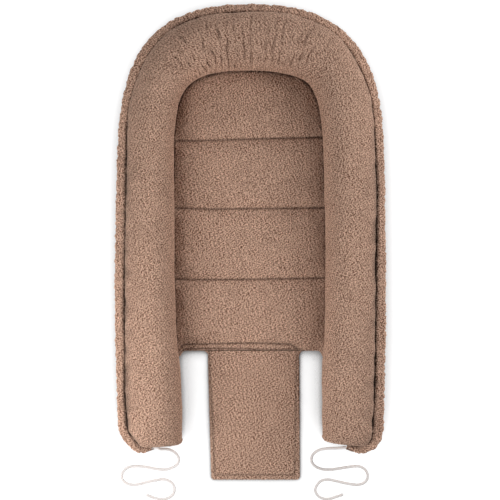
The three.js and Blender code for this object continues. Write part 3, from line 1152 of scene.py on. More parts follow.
@dataclass
class RollCovers:
    """The cloth round the stuffed roll: bouclé above, cotton below, end panels."""

    shape: RollShape
    fabrics: Fabrics
    step: float = 1.55
    cotton_step: float = 5.0
    end_step: float = 0.9
    end_columns: int = 170
    end_rows: int = 24
    end_crown: float = 1.2
    seam_pinch: float = 8.0  # how deep the outer seam draws the cover in
    inner_pinch: float = 3.0
    gather_depth: float = 3.6
    gather_swell: float = 2.6
    gather_spacing: float = 16.0
    gather_fade_from: float = 110.0
    gather_fade_to: float = 240.0
    gather_patch: float = 26.0
    gather_wander: LumpSizes = (
        (Seed.GATHER_WANDER, 10.0, 34.0), (Seed.GATHER_SMALL_WANDER, 3.0, 14.0),
    )
    pucker_height: float = 2.4
    lump_sizes: LumpSizes = ((Seed.ROLL_LUMPS, 3.2, 95.0), (Seed.ROLL_SMALL_LUMPS, 1.6, 38.0))
    wrinkle_height: float = 1.6
    wrinkle_spacing: float = 18.0
    floor_press: float = 0.6
    fill: float = 0.85

    def _gathers(
        self, surface: Grid, arc: np.ndarray, from_inner: np.ndarray
    ) -> tuple[np.ndarray, np.ndarray, np.ndarray]:
        """Gathers that run across the roll, at the head as narrow valleys.

        Args:
            surface: The even upper skin.
            arc: Length round the section for each column.
            from_inner: Angle from the inner seam for each column.

        Returns:
            Their height, how deep each point lies in a valley, and small puckers.
        """
        run = (np.arange(len(surface.points))[:, None] - 1.0) * self.step
        at_head = 1.0 - 0.94 * smoothstep(run, self.gather_fade_from, self.gather_fade_to)
        reach = smoothstep(-from_inner, -3.3, -2.2) * smoothstep(from_inner, 0.35, 0.9)
        # Distances are signed, so that the two halves meet alike at the head.
        signed = -run if surface.mirrored else run
        along = signed + lumps(surface.points, self.gather_wander)
        valley = smoothstep(np.cos(along * TURN / self.gather_spacing), 0.35, 1.0)
        patches = Unevenness(Seed.GATHER_FADE).at(surface.points, self.gather_patch)
        valley = valley * reach * smoothstep(patches, -0.25, 0.3) * at_head
        folded = np.stack(np.broadcast_arrays(signed, 0.14 * arc, 0.0), axis=-1)
        folds = Unevenness(Seed.GATHER_FOLDS).at(folded, self.gather_spacing)
        puckers = Unevenness(Seed.SEAM_PUCKERS).at(
            folded * (1.0, 1.3, 1.0), 0.55 * self.gather_spacing
        )
        swell = folds * reach * (0.15 + at_head) * self.gather_swell
        return swell - self.gather_depth * valley, valley, puckers

    def _relief(self, surface: Grid, angles: np.ndarray) -> tuple[Grid, np.ndarray]:
        """Seams, gathers and lumps of the filling, with painted shade in the seams, the gathers'
        valleys and over the tunnel at the leg's end.

        Args:
            surface: The even upper skin.
            angles: Angle of the section for each column.

        Returns:
            The skin with its relief, and how creased it is and how much shade is painted on it at
            each point.
        """
        shape = self.shape
        points = surface.points
        from_inner = (shape.inner_angle - angles)[None, :]
        from_outer = (angles - shape.outer_angle)[None, :]
        arc = (angles * shape.half_width)[None, :]
        gathers, valleys, puckers = self._gathers(surface, arc, from_inner)
        # Small puckers where the tunnel is sewn on.
        puckers = self.pucker_height * puckers * ridge(from_outer, 0.7)
        edges = np.minimum(1.0, np.minimum(from_outer, from_inner) / 0.25)
        width = shape.seam_width(points)
        inner_seam = ridge(from_inner, 0.3)
        height = gathers + puckers + lumps(points, self.lump_sizes) * edges
        height = height - self.seam_pinch * width * ridge(from_outer, 0.9)
        height = height - self.inner_pinch * inner_seam
        # Painted shade in the groove of the outer seam, along the inner seam and in the gathers'
        # valleys; below it, painted shade over the tunnel at the leg's end.
        crease = 1.25 * ridge(from_outer, 1.1 * width) + 0.6 * inner_seam + 0.3 * valleys
        at_end = smoothstep(-points[..., 1], -shape.foot_y - 4.0, -shape.foot_y)
        shade = at_end * smoothstep(from_outer, 1.75, 1.3) * shape.shade_over_tunnel(points[..., 2])
        return surface.raised(height), np.minimum(np.maximum(crease, shade), 1.0)

    def build_upper(self, side: Side) -> bpy.types.Object:
        """The bouclé half of the roll's cover.

        Args:
            side: Left or right.

        Returns:
            The cover, which stands for the stuffing too.
        """
        shape = self.shape
        arc = (shape.inner_angle - shape.outer_angle) * shape.half_width
        angles = np.linspace(shape.outer_angle, shape.inner_angle, round(arc / self.step) + 1)
        even = shape.skin(angles, self.step, side, over_end=True).on_side(side)
        piece = self.fabrics.knit(f"roll_cover_{side.word}", *self._relief(even, angles))
        shape.bend(piece, side)
        stand_for(
            piece, self.fill, "roll_cover_upper", "roll_filling",
            f"{side.leg}_cover_upper", f"{side.leg}_filling",
        )
        return piece

    def build_lower(self, side: Side) -> bpy.types.Object:
        """The cotton half under the roll.

        Args:
            side: Left or right.

        Returns:
            The underside cover.
        """
        shape = self.shape
        wrap = TURN + shape.outer_angle - shape.inner_angle
        columns = round(wrap * shape.half_width / self.cotton_step)
        angles = np.linspace(shape.inner_angle, shape.inner_angle + wrap, columns + 1)
        even = shape.skin(angles, self.cotton_step, side, over_end=True).on_side(side)
        on_floor = even.points[..., 2] < shape.lift(even.points[..., 1]) + 0.5
        places = even.points * (1.0, 1.0, 0.35)
        wrinkles = Unevenness(Seed.WRINKLES).at(places, self.wrinkle_spacing)
        height = np.where(on_floor, 0.0, self.wrinkle_height * wrinkles - self.floor_press)
        piece = self.fabrics.cotton(f"roll_underside_{side.word}", even.raised(height))
        shape.bend(piece, side)
        stand_for(piece, self.fill, "roll_cover_lower", f"{side.leg}_cover_lower")
        return piece

    def build_end(self, side: Side) -> bpy.types.Object:
        """The panel that closes the leg's end.

        Args:
            side: Left or right.

        Returns:
            The end panel, crowned by the stuffing behind it.
        """
        shape = self.shape
        angles = np.linspace(0.0, TURN, self.end_columns, endpoint=False)
        rim = shape.end_skin(angles, self.end_step, shape.cover_wrap - 0.02, 0.25 * TURN)
        middle = rim[-1].mean(axis=0)
        shares = np.linspace(0.0, 1.0, self.end_rows)[1:, None, None]
        face = rim[-1] + (middle - rim[-1]) * shares
        face[..., 1] -= self.end_crown * np.sin(0.25 * TURN * shares[..., 0])
        points = np.concatenate([rim, face])
        aside = points[..., 0] - middle[0]
        outer_share = np.clip(aside / (2.0 * shape.half_width) + 0.5, 0.0, 1.0)
        # Painted shade on the end's outer half, just over the tunnel.
        crease = smoothstep(aside, -12.0, 6.0) * shape.shade_over_tunnel(points[..., 2])
        even = Grid(shape.fitted(points, outer_share, side), closed=True).on_side(side)
        piece = self.fabrics.knit(f"leg_end_{side.word}", even, crease, 0.8)
        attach(piece, side.leg)
        stand_for(piece, self.fill, f"{side.leg}_end_panel")
        return piece


@dataclass
class TunnelRows:
    """Rows of the tunnel's skin, each with its place and its section."""

    run: np.ndarray
    middle: np.ndarray
    width: np.ndarray
    height: np.ndarray
    wall: np.ndarray

    @property
    def outside(self) -> np.ndarray:
        """Whether each row is on the tunnel's outer face."""
        return (self.wall < 0.5)[:, None]

    @property
    def to_mouth(self) -> np.ndarray:
        """How far before the mouth each row lies."""
        return (self.run.max() - self.run)[:, None]


@dataclass
class DrawstringTunnel:
    """The gathered channel of bouclé along the outer seam, and the cord in it."""

    shape: RollShape
    fabrics: Fabrics
    step: float = 1.3
    sides: int = 44
    wall: float = 2.0
    lip_walls: tuple[float, ...] = (0.3, 1.0, 1.0, 1.7)  # round the rim of the mouth
    mouth_width: float = 11.6
    mouth_height: float = 10.8
    mouth_depth: float = 16.0
    mouth_taper: float = 1.2
    mouth_skew_taper: float = 0.9
    mouth_folds: int = 9
    fold_depth: float = 0.8
    seam_reach: float = 3.2
    fullness: float = 3.4
    shoulder: float = 6.0
    gather_depth: float = 3.0
    gather_sizes: LumpSizes = (
        (Seed.TUNNEL_GATHERS, 1.0, 10.0), (Seed.TUNNEL_SMALL_GATHERS, 0.6, 5.0),
    )
    halves_apart: float = 300.0  # in the pattern of the gathers
    # How wide the painted shade in the groove is, and how much lighter the whole tunnel is painted.
    groove_width: float = 2.7
    painted_light: float = 0.2
    cord_diameter: float = 5.5
    cord_z: float = 43.76
    cord_step: float = 2.5
    cord_sides: int = 16

    def _route(self) -> tuple[np.ndarray, np.ndarray, np.ndarray]:
        """The tunnel's course: beside the roll, round the corner, along the end.

        Returns:
            Its middle, its width and its height, from head to mouth.
        """
        shape = self.shape
        course = shape.course()
        pivot_y = shape.foot_y + shape.outer_corner
        here = course.at(np.linspace(0.0, course.run_at(pivot_y), 700))
        x, y = here.beside(here.half_width + shape.clearance + here.tunnel_width / 2.0)
        end_x = course.x[-1]
        pivot_x = end_x + shape.half_width - shape.outer_corner
        turn = np.linspace(0.0, 0.25 * TURN, 60)[1:]
        around = shape.outer_corner + shape.clearance + shape.tunnel_width / 2.0
        share = np.linspace(0.0, 1.0, 40)[1:]
        narrow = shape.tunnel_width + (self.mouth_width - shape.tunnel_width) * share**2
        low = shape.tunnel_height + (self.mouth_height - shape.tunnel_height) * share**2
        x = np.concatenate([
            x, pivot_x + around * np.cos(turn), pivot_x + (end_x - pivot_x) * share,
        ])
        y = np.concatenate([
            y, pivot_y - around * np.sin(turn), shape.foot_y - shape.clearance - narrow / 2.0,
        ])
        width = np.concatenate([here.tunnel_width, 0.0 * turn + shape.tunnel_width, narrow])
        height = np.concatenate([np.full(len(x) - len(low), shape.tunnel_height), low])
        return np.stack([x, y, 0.0 * x + shape.outer_seam_z], axis=-1), width, height

    def _rows(self) -> TunnelRows:
        """The rows of the skin, from the head to the mouth and back inside it.

        Returns:
            The rows.
        """
        path, width, height = self._route()
        route_run = run_along(path)
        run = even_run(path, self.step)
        back = run[run > run[-1] - self.mouth_depth][::-1]
        wall = np.concatenate([0.0 * run, np.full(len(back), self.wall)])
        lip = len(self.lip_walls) // 2
        wall[len(run) - lip:len(run) + lip] = self.lip_walls
        run = np.concatenate([run, back])
        return TunnelRows(
            run=run,
            middle=spaced(path, run),
            width=np.interp(run, route_run, width),
            height=np.interp(run, route_run, height),
            wall=wall,
        )

    def _skin(self, rows: TunnelRows, turn: np.ndarray, pleats: np.ndarray, side: Side) -> Grid:
        """The tunnel without its gathers and its pile.

        Args:
            rows: The rows of the skin.
            turn: Angle of each column, 0 on the side that faces the roll.
            pleats: Folds drawn together at the mouth.
            side: Left or right.

        Returns:
            The skin on its side.
        """
        to_mouth, outside = rows.to_mouth, rows.outside
        away = 0.5 - 0.5 * np.cos(turn)
        half = (rows.width / 2.0 - rows.wall)[:, None]
        height_share = (rows.height / 2.0 - rows.wall)[:, None] / half
        taper = self.mouth_taper + self.mouth_skew_taper * away
        half = half + self.fold_depth * pleats - taper * ridge(to_mouth, 28.0)
        points = sweep(rows.middle, half, self.sides, height_share).points
        to_roll = (points[:, :1] - rows.middle[:, None]) / half[:, :1, None]
        # The side against the roll is drawn in to the seam, deep in the groove.
        from_roll = np.minimum(turn, TURN - turn)
        toward_roll = np.clip(np.cos(turn), 0.0, None)
        width = self.shape.seam_width(points * (side.value, 1.0, 1.0))
        pull = self.seam_reach * ridge(from_roll, 0.5) * width + self.fullness * toward_roll**0.8
        points = points + to_roll * (pull * outside)[..., None]
        # It stands up a little against the roll, like a piped seam.
        upper = smoothstep(-np.sin(turn), -0.6, 0.4)
        stand = self.shoulder * toward_roll**0.7 * upper * smoothstep(to_mouth, 4.0, 40.0)
        points[..., 2] += stand * outside
        # The mouth is cut obliquely, the side away from the roll further back.
        points[..., 0] += self.shape.fits[side].mouth_skew * away * ridge(to_mouth, 48.0)
        fitted = self.shape.fitted(points, np.ones(points.shape[:2]), side)
        at_mouth = 1.0 - smoothstep(to_mouth, 5.0, 60.0)[..., None]
        return Grid(fitted + (points - fitted) * at_mouth, closed=True).on_side(side)

    def build_tunnel(self, side: Side) -> bpy.types.Object:
        """One half of the tunnel, with its narrowed mouth.

        Args:
            side: Left or right.

        Returns:
            The tunnel, from the head to the mouth and back inside it.
        """
        rows = self._rows()
        turn = np.linspace(0.0, TURN, self.sides, endpoint=False)
        pleats = np.cos(self.mouth_folds * turn + 0.8) * ridge(rows.to_mouth, 30.0)
        even = self._skin(rows, turn, pleats, side)
        folded = np.stack(
            np.broadcast_arrays(rows.run[:, None], 2.5 * np.sin(turn), 2.5 * np.cos(turn)), axis=-1
        )
        folded = folded + (0.0, 0.0, self.halves_apart * (side is Side.LEFT))
        gathers = lumps(folded, self.gather_sizes)
        # Painted shade on the side that lies against the roll, in the groove, and in the folds at
        # the mouth.
        shape = self.shape
        y = even.points[:, :1, 1]
        width = self.groove_width - 1.2 * smoothstep(rows.to_mouth, 25.0, 65.0)
        width = width - 0.5 * smoothstep(y, shape.fine_seam_from, shape.fine_seam_to)
        in_groove = 1.3 * ridge(np.minimum(turn, TURN - turn), width)
        in_groove = in_groove + 0.6 * np.clip(-pleats, 0.0, 1.0)
        # Painted light: the whole tunnel is painted lighter, most on the tops of its gathers, and
        # darker between them.
        shade = np.clip(in_groove - 0.25 * gathers - self.painted_light, -self.painted_light, 1.0)
        # Painted shade over the inner walls inside the mouth.
        piece = self.fabrics.knit(
            f"drawstring_tunnel_{side.word}",
            even.raised(gathers * self.gather_depth * rows.outside),
            np.where(rows.outside, shade, 0.4),
            np.where(rows.outside, 1.1, 0.2),
        )
        shape.bend(piece, side)
        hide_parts("drawstring_tunnel", f"{side.leg}_tunnel")
        return piece

    def build_cord(self, side: Side) -> bpy.types.Object:
        """The cord inside the tunnel.

        Args:
            side: Left or right.

        Returns:
            The hidden run of the cord, up to the mouth.
        """
        route, _, _ = self._route()
        path = spaced(route, even_run(route, self.cord_step))
        path[:, 2] = self.cord_z
        path = self.shape.fitted(path, np.ones(len(path)), side)
        radius, strand = twisted_radius(path, self.cord_diameter / 2.0, self.cord_sides)
        tube = sweep(path, radius, self.cord_sides).on_side(side)
        piece = tube.to_object(f"drawstring_run_{side.word}", strand=strand)
        dress(piece, self.fabrics.cord)
        self.shape.bend(piece, side)
        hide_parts("drawstring_run", f"{side.leg}_cord_run")
        return piece


def twisted_radius(
    path: np.ndarray, radius: float, sides: int, strands: int = 4, lay: float = 16.0
) -> tuple[np.ndarray, np.ndarray]:
    """Radius of a twisted cord round each point of its path.

    Args:
        path: Points along the middle, in millimetres.
        radius: The cord's outer radius.
        sides: How many points go round.
        strands: How many strands are twisted together.
        lay: Length in which a strand goes round once.

    Returns:
        The radius by point and side, and 1 on top of a strand to 0 between two.
    """
    turn = np.linspace(0.0, TURN, sides, endpoint=False)
    phase = strands * (turn[None, :] - TURN * run_along(path)[:, None] / lay)
    strand = np.sqrt(0.5 + 0.5 * np.cos(phase))
    return radius * (1.0 + 0.08 * strand), strand


@dataclass
class FreeCord:
    """One loose end of the drawstring, off-white twisted cotton, cut off blunt."""

    side: Side
    route: Line
    length: float
    swung_share: float  # of its depth under the mouth, once the leg has swung in
    fabrics: Fabrics
    diameter: float = 5.5
    mouth: tuple[float, float] = (195.0, -412.1)
    exit_z: float = 43.76
    floor_gap: float = 0.05
    drop: float = 78.0
    clearance: float = 0.3
    tail_shares: tuple[float, ...] = (1.04, 1.0, 0.8, 0.45, 0.02)
    fray: float = 0.12
    sides: int = 20
    step: float = 0.9

    def _places(self) -> np.ndarray:
        """The route's points, straight out of the mouth and down to the floor.

        Returns:
            The points in millimetres.
        """
        start = [
            (self.side.value * (self.mouth[0] - reach), self.mouth[1])
            for reach in (self.clearance, self.clearance + self.diameter)
        ]
        flat = np.array(start + list(self.route))
        floor_z = self.diameter / 2.0 + self.floor_gap
        z = self.exit_z + (floor_z - self.exit_z) * smoothstep(run_along(flat), 0.0, self.drop)
        return np.column_stack([flat, z])

    def _curve(self) -> np.ndarray:
        """A smooth curve through the places, by centripetal Catmull-Rom.

        Returns:
            Its points in even steps.
        """
        places = self._places()
        padded = np.vstack([2 * places[0] - places[1], places, 2 * places[-1] - places[-2]])
        pieces = []
        for before, first, second, after in zip(padded, padded[1:], padded[2:], padded[3:]):
            gaps = [
                max(np.linalg.norm(b - a), 1e-6) ** 0.5
                for a, b in ((before, first), (first, second), (second, after))
            ]
            slope_in = (first - before) / gaps[0] - (second - before) / (gaps[0] + gaps[1])
            slope_in = (slope_in + (second - first) / gaps[1]) * gaps[1]
            slope_out = (second - first) / gaps[1] - (after - first) / (gaps[1] + gaps[2])
            slope_out = (slope_out + (after - second) / gaps[2]) * gaps[1]
            t = np.linspace(0.0, 1.0, 16, endpoint=False)[:, None]
            pieces.append(
                (2 * t**3 - 3 * t**2 + 1) * first + (t**3 - 2 * t**2 + t) * slope_in
                + (3 * t**2 - 2 * t**3) * second + (t**3 - t**2) * slope_out
            )
        curve = np.vstack([*pieces, places[-1:]])
        return spaced(curve, even_run(curve, self.step))

    def build(self) -> bpy.types.Object:
        """Returns:
            The cord, a mesh tube with twisted strands.
        """
        path = self._curve()
        radius, strand = twisted_radius(path, self.diameter / 2.0, self.sides)
        # A blunt cut, its fibres a little spread.
        tail = np.array(self.tail_shares)
        radius[-len(tail):] *= tail[:, None]
        frayed = np.random.default_rng(Seed.CORD_FRAY).normal(size=(2, self.sides))
        radius[-3:-1] *= 1.0 + self.fray * frayed
        path[-4:] = path[-4] + (path[-1] - path[-4]) * np.array([0.0, 0.25, 0.4, 0.42])[:, None]
        path[:, 2] -= np.minimum(0.0, path[:, 2] - radius.max(axis=1) - self.floor_gap)
        piece = sweep(path, radius, self.sides).to_object(
            f"drawstring_end_{self.side.word}", strand=strand
        )
        dress(piece, self.fabrics.cord)
        piece.visible_shadow = False  # the cord in the photograph casts none that shows
        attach(piece, self.side.leg)
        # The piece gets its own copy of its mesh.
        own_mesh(piece)
        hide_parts(f"{self.side.word}_cord_end")
        return piece


# Bed and flap


@dataclass(frozen=True)
class StitchLine:
    """A row of machine stitches seen from above, as X and Y of its corners."""

    corners: Line

    def y_at(self, x: np.ndarray) -> np.ndarray:
        """Y of the line at each X."""
        return np.interp(x, *zip(*self.corners))

    def distance(self, x: np.ndarray, y: np.ndarray) -> np.ndarray:
        """How far places lie from the line.

        Args:
            x: X of the places.
            y: Y of the places.

        Returns:
            One distance for each place.
        """
        places = np.stack([x, y], axis=-1)
        nearest = np.full(np.shape(x), np.inf)
        for first, second in zip(self.corners, self.corners[1:]):
            start, along = np.array(first), np.subtract(second, first)
            share = np.clip(((places - start) @ along) / (along @ along), 0.0, 1.0)
            gap = places - start - share[..., None] * along
            nearest = np.minimum(nearest, np.linalg.norm(gap, axis=-1))
        return nearest


@dataclass(frozen=True)
class Stitching:
    """Rows of stitches, each a short bowed length of thread."""

    length: float = 3.0
    gap: float = 1.2
    radius: float = 0.45
    bow: float = 0.5  # of the radius
    sides: int = 6
    rings: int = 6

    def marks(self, lines: tuple[StitchLine, ...]) -> tuple[np.ndarray, np.ndarray]:
        """Middles and directions of the stitches along some lines.

        Args:
            lines: The rows of stitches.

        Returns:
            The middles and the unit directions, both as X and Y.
        """
        middles, ways = [], []
        for line in lines:
            path = np.array(line.corners)
            starts = np.arange(self.gap, run_along(path)[-1] - self.length, self.length + self.gap)
            ends = [spaced(path, starts + reach) for reach in (0.0, self.length)]
            way = ends[1] - ends[0]
            middles.append((ends[0] + ends[1]) / 2.0)
            ways.append(way / np.linalg.norm(way, axis=1, keepdims=True))
        return np.concatenate(middles), np.concatenate(ways)

    def sew(
        self, name: str, middles: np.ndarray, ways: np.ndarray, heights: np.ndarray,
        fabrics: Fabrics,
    ) -> bpy.types.Object:
        """Makes the stitches.

        Args:
            name: Name of the piece.
            middles: X and Y of each stitch.
            ways: Unit direction of each stitch.
            heights: Z of the cloth under each stitch.
            fabrics: Gives the thread.

        Returns:
            One piece with all the stitches.
        """
        turn = np.linspace(0.0, TURN, self.sides, endpoint=False)
        share = np.linspace(-1.0, 1.0, self.rings)
        thick = self.radius * np.sqrt(np.clip(1.08 - share**4, 0.0, 1.0))
        bowed = self.bow * self.radius * (1.0 - 2.2 * share**2)
        along = (share * self.length / 2.0)[:, None] + 0.0 * turn
        aside = thick[:, None] * np.cos(turn)
        flat = (
            middles[:, None, None] + ways[:, None, None] * along[..., None]
            + np.stack([-ways[:, 1], ways[:, 0]], -1)[:, None, None] * aside[..., None]
        )
        z = heights[:, None, None] + thick[:, None] * np.sin(turn) + bowed[:, None]
        points = np.concatenate([flat, z[..., None]], axis=-1).reshape(-1, 3)
        index = np.arange(self.rings * self.sides).reshape(self.rings, self.sides)
        index = np.concatenate([index, index[:, :1]], axis=1)
        one = np.stack([index[:-1, :-1], index[1:, :-1], index[1:, 1:], index[:-1, 1:]], -1)
        starts = np.arange(len(middles)) * self.rings * self.sides
        faces = (one.reshape(1, -1, 4) + starts[:, None, None]).reshape(-1, 4)
        piece = mesh_object(name, points, faces, strand=np.full(len(points), 0.6))
        dress(piece, fabrics.thread)
        return piece


@dataclass
class QuiltedBed:
    """The bed: four padded channels between stitched seams, and a band at the foot."""

    shape: RollShape
    fabrics: Fabrics
    stitching: Stitching = Stitching()
    step: float = 1.5
    head_seam_y: float = 357.7
    band_depth: float = 13.3
    band_height: float = 9.5
    seam_height: float = 11.0
    crown_height: float = 20.0
    edge_height: float = 13.0
    shoulder: float = 44.0
    crease_width: float = 4.2
    hem_width: float = 3.6
    crease_depth: float = 3.0
    lump_sizes: LumpSizes = ((Seed.BED_LUMPS, 2.6, 80.0), (Seed.BED_SMALL_LUMPS, 1.5, 30.0))
    lump_edge: float = 20.0
    pucker_height: float = 1.5
    pucker_reach: float = 34.0
    pucker_spacing: float = 13.0
    # Painted shade beside the right roll: how dark at most, and how far from the roll it reaches.
    right_roll_painted_shade: float = 0.2
    right_roll_shade_reach: float = 36.0
    # How the painted dark line where the rolls come down on the bed wanders, and the size of its
    # patches.
    edge_wander: float = 2.0
    edge_patch: float = 15.0
    edge_round: float = 3.2
    edge_drops: tuple[float, ...] = (4.6, 6.2, 7.6)
    skirt_z: float = 1.5
    gap_sides: tuple[float, float] = (-142.0, 148.0)
    corner_round: float = 11.0  # of the two gaps beside the flap
    stitch_inset: float = 4.0
    panel_z: float = 1.2
    panel_gap: float = 0.15
    dimple: float = 0.8
    fill: float = 0.5
    seams: tuple[StitchLine, ...] = (
        StitchLine((
            (-165.0, -72.4), (-110.0, -73.4), (-20.0, -72.8), (60.0, -71.4), (165.0, -69.2),
        )),
        StitchLine(((-165.0, 73.4), (-80.0, 71.0), (0.0, 72.4), (80.0, 73.0), (165.0, 74.6))),
        StitchLine((
            (-165.0, 210.4), (-110.0, 211.0), (-30.0, 214.0), (60.0, 216.6), (165.0, 219.0),
        )),
    )
    hem: StitchLine = StitchLine((
        (-141.0, -206.6), (-100.0, -205.4), (-40.0, -203.8), (30.0, -203.4), (84.0, -206.0),
        (98.0, -215.0),
    ))
    flap_seam: StitchLine = StitchLine((
        (-141.0, -215.4), (-60.0, -214.4), (20.0, -216.4), (106.0, -216.6),
    ))

    def _half_width(self, y: np.ndarray) -> np.ndarray:
        """Half the bed's width at each Y, out to the roll's inner seam."""
        edge_x, edge_y = self.shape.inner_edge(self.shape.inner_angle)
        return np.interp(y, edge_y[::-1], edge_x[::-1])

    def _from_edge(self, x: np.ndarray, y: np.ndarray) -> np.ndarray:
        """How far inside the bed's outline places lie, roughly.

        Args:
            x: X of the places.
            y: Y of the places.

        Returns:
            One distance for each place.
        """
        edge_x, edge_y = self.shape.inner_edge(self.shape.inner_angle)
        arch = slice(self.shape.arch_points)
        beside = self._half_width(np.minimum(y, self.head_seam_y)) - np.abs(x)
        return corner_distance(beside, np.interp(np.abs(x), edge_x[arch], edge_y[arch]) - y)

    def _from_roll(self, x: np.ndarray, y: np.ndarray) -> np.ndarray:
        """How far places lie from where the roll hides the bed, roughly.

        Args:
            x: X of the places.
            y: Y of the places.

        Returns:
            One distance for each place.
        """
        gaps = {}
        for side in Side:
            edge = self.shape.skin(np.array([math.pi]), 3.0, side, over_end=False).points[:, 0]
            beside = np.interp(-y, -edge[:, 1], edge[:, 0]) - np.abs(x)
            before = np.interp(np.abs(x), np.maximum.accumulate(edge[:, 0]), edge[:, 1]) - y
            gaps[side] = corner_distance(beside, before)
        return np.where(x > 0.0, gaps[Side.RIGHT], gaps[Side.LEFT])

    def heights(self, x: np.ndarray, y: np.ndarray) -> tuple[np.ndarray, np.ndarray]:
        """The bed's top, without its pile, and how creased it is and how much shade is painted on
        it.

        Args:
            x: X of the places.
            y: Y of the places.

        Returns:
            Z, and the painted shade: 1 in a seam to 0 away from it, more beside the right roll, and
                a dark line where the rolls come down on the bed.
        """
        nearest = y - self.hem.y_at(x)
        creases = []
        for seam in self.seams:
            gap = np.abs(y - seam.y_at(x))
            nearest = np.where(gap < np.abs(nearest), gap, nearest)
            creases.append(0.6 * ridge(gap, self.crease_width))
        for line in (self.hem, self.flap_seam):
            creases.append(0.7 * ridge(line.distance(x, y), self.hem_width))
        # The seams' creases give both their depth and the painted shade in them.
        crease = np.maximum.reduce(creases)
        # Each channel swells up from its seams.
        share = np.clip(nearest / self.shoulder, 0.0, 1.0)
        rise = (1.0 - (1.0 - share) ** 2.2) ** 0.85
        channel = self.seam_height + (self.crown_height - self.seam_height) * rise
        band_top = self.shape.foot_edge_y + self.band_depth
        band = self.band_height + 0.6 * smoothstep(y, band_top - 6.0, band_top)
        z = np.where(nearest > 0.0, channel, band)
        # The whole bed is thinner at its outline.
        edge = np.clip(self._from_edge(x, y) / self.shoulder, 0.0, 1.0)
        rise = (self.crown_height + 0.8 - self.edge_height) * (1.0 - (1.0 - edge) ** 2.4)
        z = np.minimum(z, self.edge_height + rise)
        places = on_plane(x, y)
        z = z + lumps(places, self.lump_sizes) * np.clip(nearest / self.lump_edge, 0.0, 1.0)
        # Small puckers run out of the quilting seams.
        pulled = Unevenness(Seed.BED_PUCKERS).at(places * (1.0, 0.3, 1.0), self.pucker_spacing)
        z = z + self.pucker_height * pulled * ridge(nearest, self.pucker_reach)
        z = z - self.crease_depth * crease
        # Painted shade on the bed beside the right roll.
        from_roll = self._from_roll(x, y)
        right_roll_shade = self.right_roll_painted_shade * smoothstep(from_roll, self.right_roll_shade_reach, 20.0)
        crease = np.clip(crease + right_roll_shade * smoothstep(x, -10.0, 60.0), 0.0, 1.0)
        # Painted shade: a dark line where the roll comes down on the bed.
        wander = self.edge_wander * Unevenness(Seed.BED_EDGE).at(places, self.edge_patch)
        return z, np.maximum(crease, 0.9 * smoothstep(from_roll + wander, 1.4, -1.0))

    def build_top(self) -> bpy.types.Object:
        """The quilted bouclé panel, closed down to the underside at its edges.

        Returns:
            The panel, which stands for the wadding too.
        """
        foot, radius = self.shape.foot_edge_y, self.edge_round
        rows = round((self.head_seam_y - foot) / self.step)
        y = np.linspace(foot + radius, self.head_seam_y - 0.4, rows)
        columns = round(2.0 * self._half_width(np.array([0.0]))[0] / self.step)
        x = self._half_width(y)[:, None] * np.linspace(-1.0, 1.0, columns)
        y = np.broadcast_to(y[:, None], x.shape)
        z, crease = self.heights(x, y)
        # Rows over the rounded foot edge and down to the underside.
        turns = np.linspace(0.25 * TURN, 0.0, 6)[1:]
        front = [(radius - radius * math.cos(a), radius - radius * math.sin(a)) for a in turns]
        front += [(radius, drop) for drop in self.edge_drops]
        edge_rows = [
            np.stack([x[0], 0.0 * x[0] + foot + radius - ahead, z[0] - drop], axis=-1)
            for ahead, drop in front[::-1]
        ]
        points = np.concatenate([np.stack(edge_rows), np.stack([x, y, z], axis=-1)])
        # The foot edge turns down a little where the roll comes over it.
        left, right = self.gap_sides
        from_leg = np.where(points[..., 0] > 0.0, right - points[..., 0], points[..., 0] - left)
        at_foot = smoothstep(points[..., 1], foot + 24.0, foot + 4.0)
        points[..., 1] -= fillet(from_leg, self.corner_round) * at_foot
        crease = np.pad(crease, ((len(front), 0), (0, 0)))
        skirt = points[:, [0, -1]].copy()
        skirt[..., 2] = self.skirt_z
        points = np.concatenate([skirt[:, :1], points, skirt[:, 1:]], axis=1)
        crease = np.pad(crease, ((0, 0), (1, 1)), mode="edge")
        piece = self.fabrics.knit("bed_quilt", Grid(points), crease, 0.92)
        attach(piece, "nest")
        waddings = [f"base_wadding_{number}" for number in range(1, 5)]
        stand_for(piece, self.fill, "base_top_panel", *waddings)
        return piece

    def build_stitches(self) -> bpy.types.Object:
        """The thread in the quilting seams and along the foot band.

        Returns:
            The stitches.
        """
        middles, ways = self.stitching.marks((*self.seams, self.hem, self.flap_seam))
        inside = np.abs(middles[:, 0]) < self._half_width(middles[:, 1]) - self.stitch_inset
        middles, ways = middles[inside], ways[inside]
        heights, _ = self.heights(middles[:, 0], middles[:, 1])
        piece = self.stitching.sew("bed_stitching", middles, ways, heights - 0.1, self.fabrics)
        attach(piece, "nest")
        return piece

    def build_underside(self) -> bpy.types.Object:
        """The plain cotton panel that the bed lies on.

        Returns:
            The panel, dimpled where the quilting seams pull on it.
        """
        edge_x, edge_y = self.shape.inner_edge(self.shape.inner_angle_at(self.panel_z))
        y = np.linspace(self.shape.foot_edge_y + 0.6, edge_y[0] - 0.5, 150)[:, None]
        x = np.interp(y, edge_y[::-1], edge_x[::-1]) * np.linspace(1.0, -1.0, 90)
        pulled = sum(ridge(y - seam.y_at(x), 12.0) for seam in self.seams)
        panel = thin_panel(x, y, self.panel_gap + self.dimple * pulled, self.panel_z)
        piece = self.fabrics.cotton("bed_underside", panel)
        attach(piece, "nest")
        stand_for(piece, self.fill, "base_bottom_panel")
        return piece


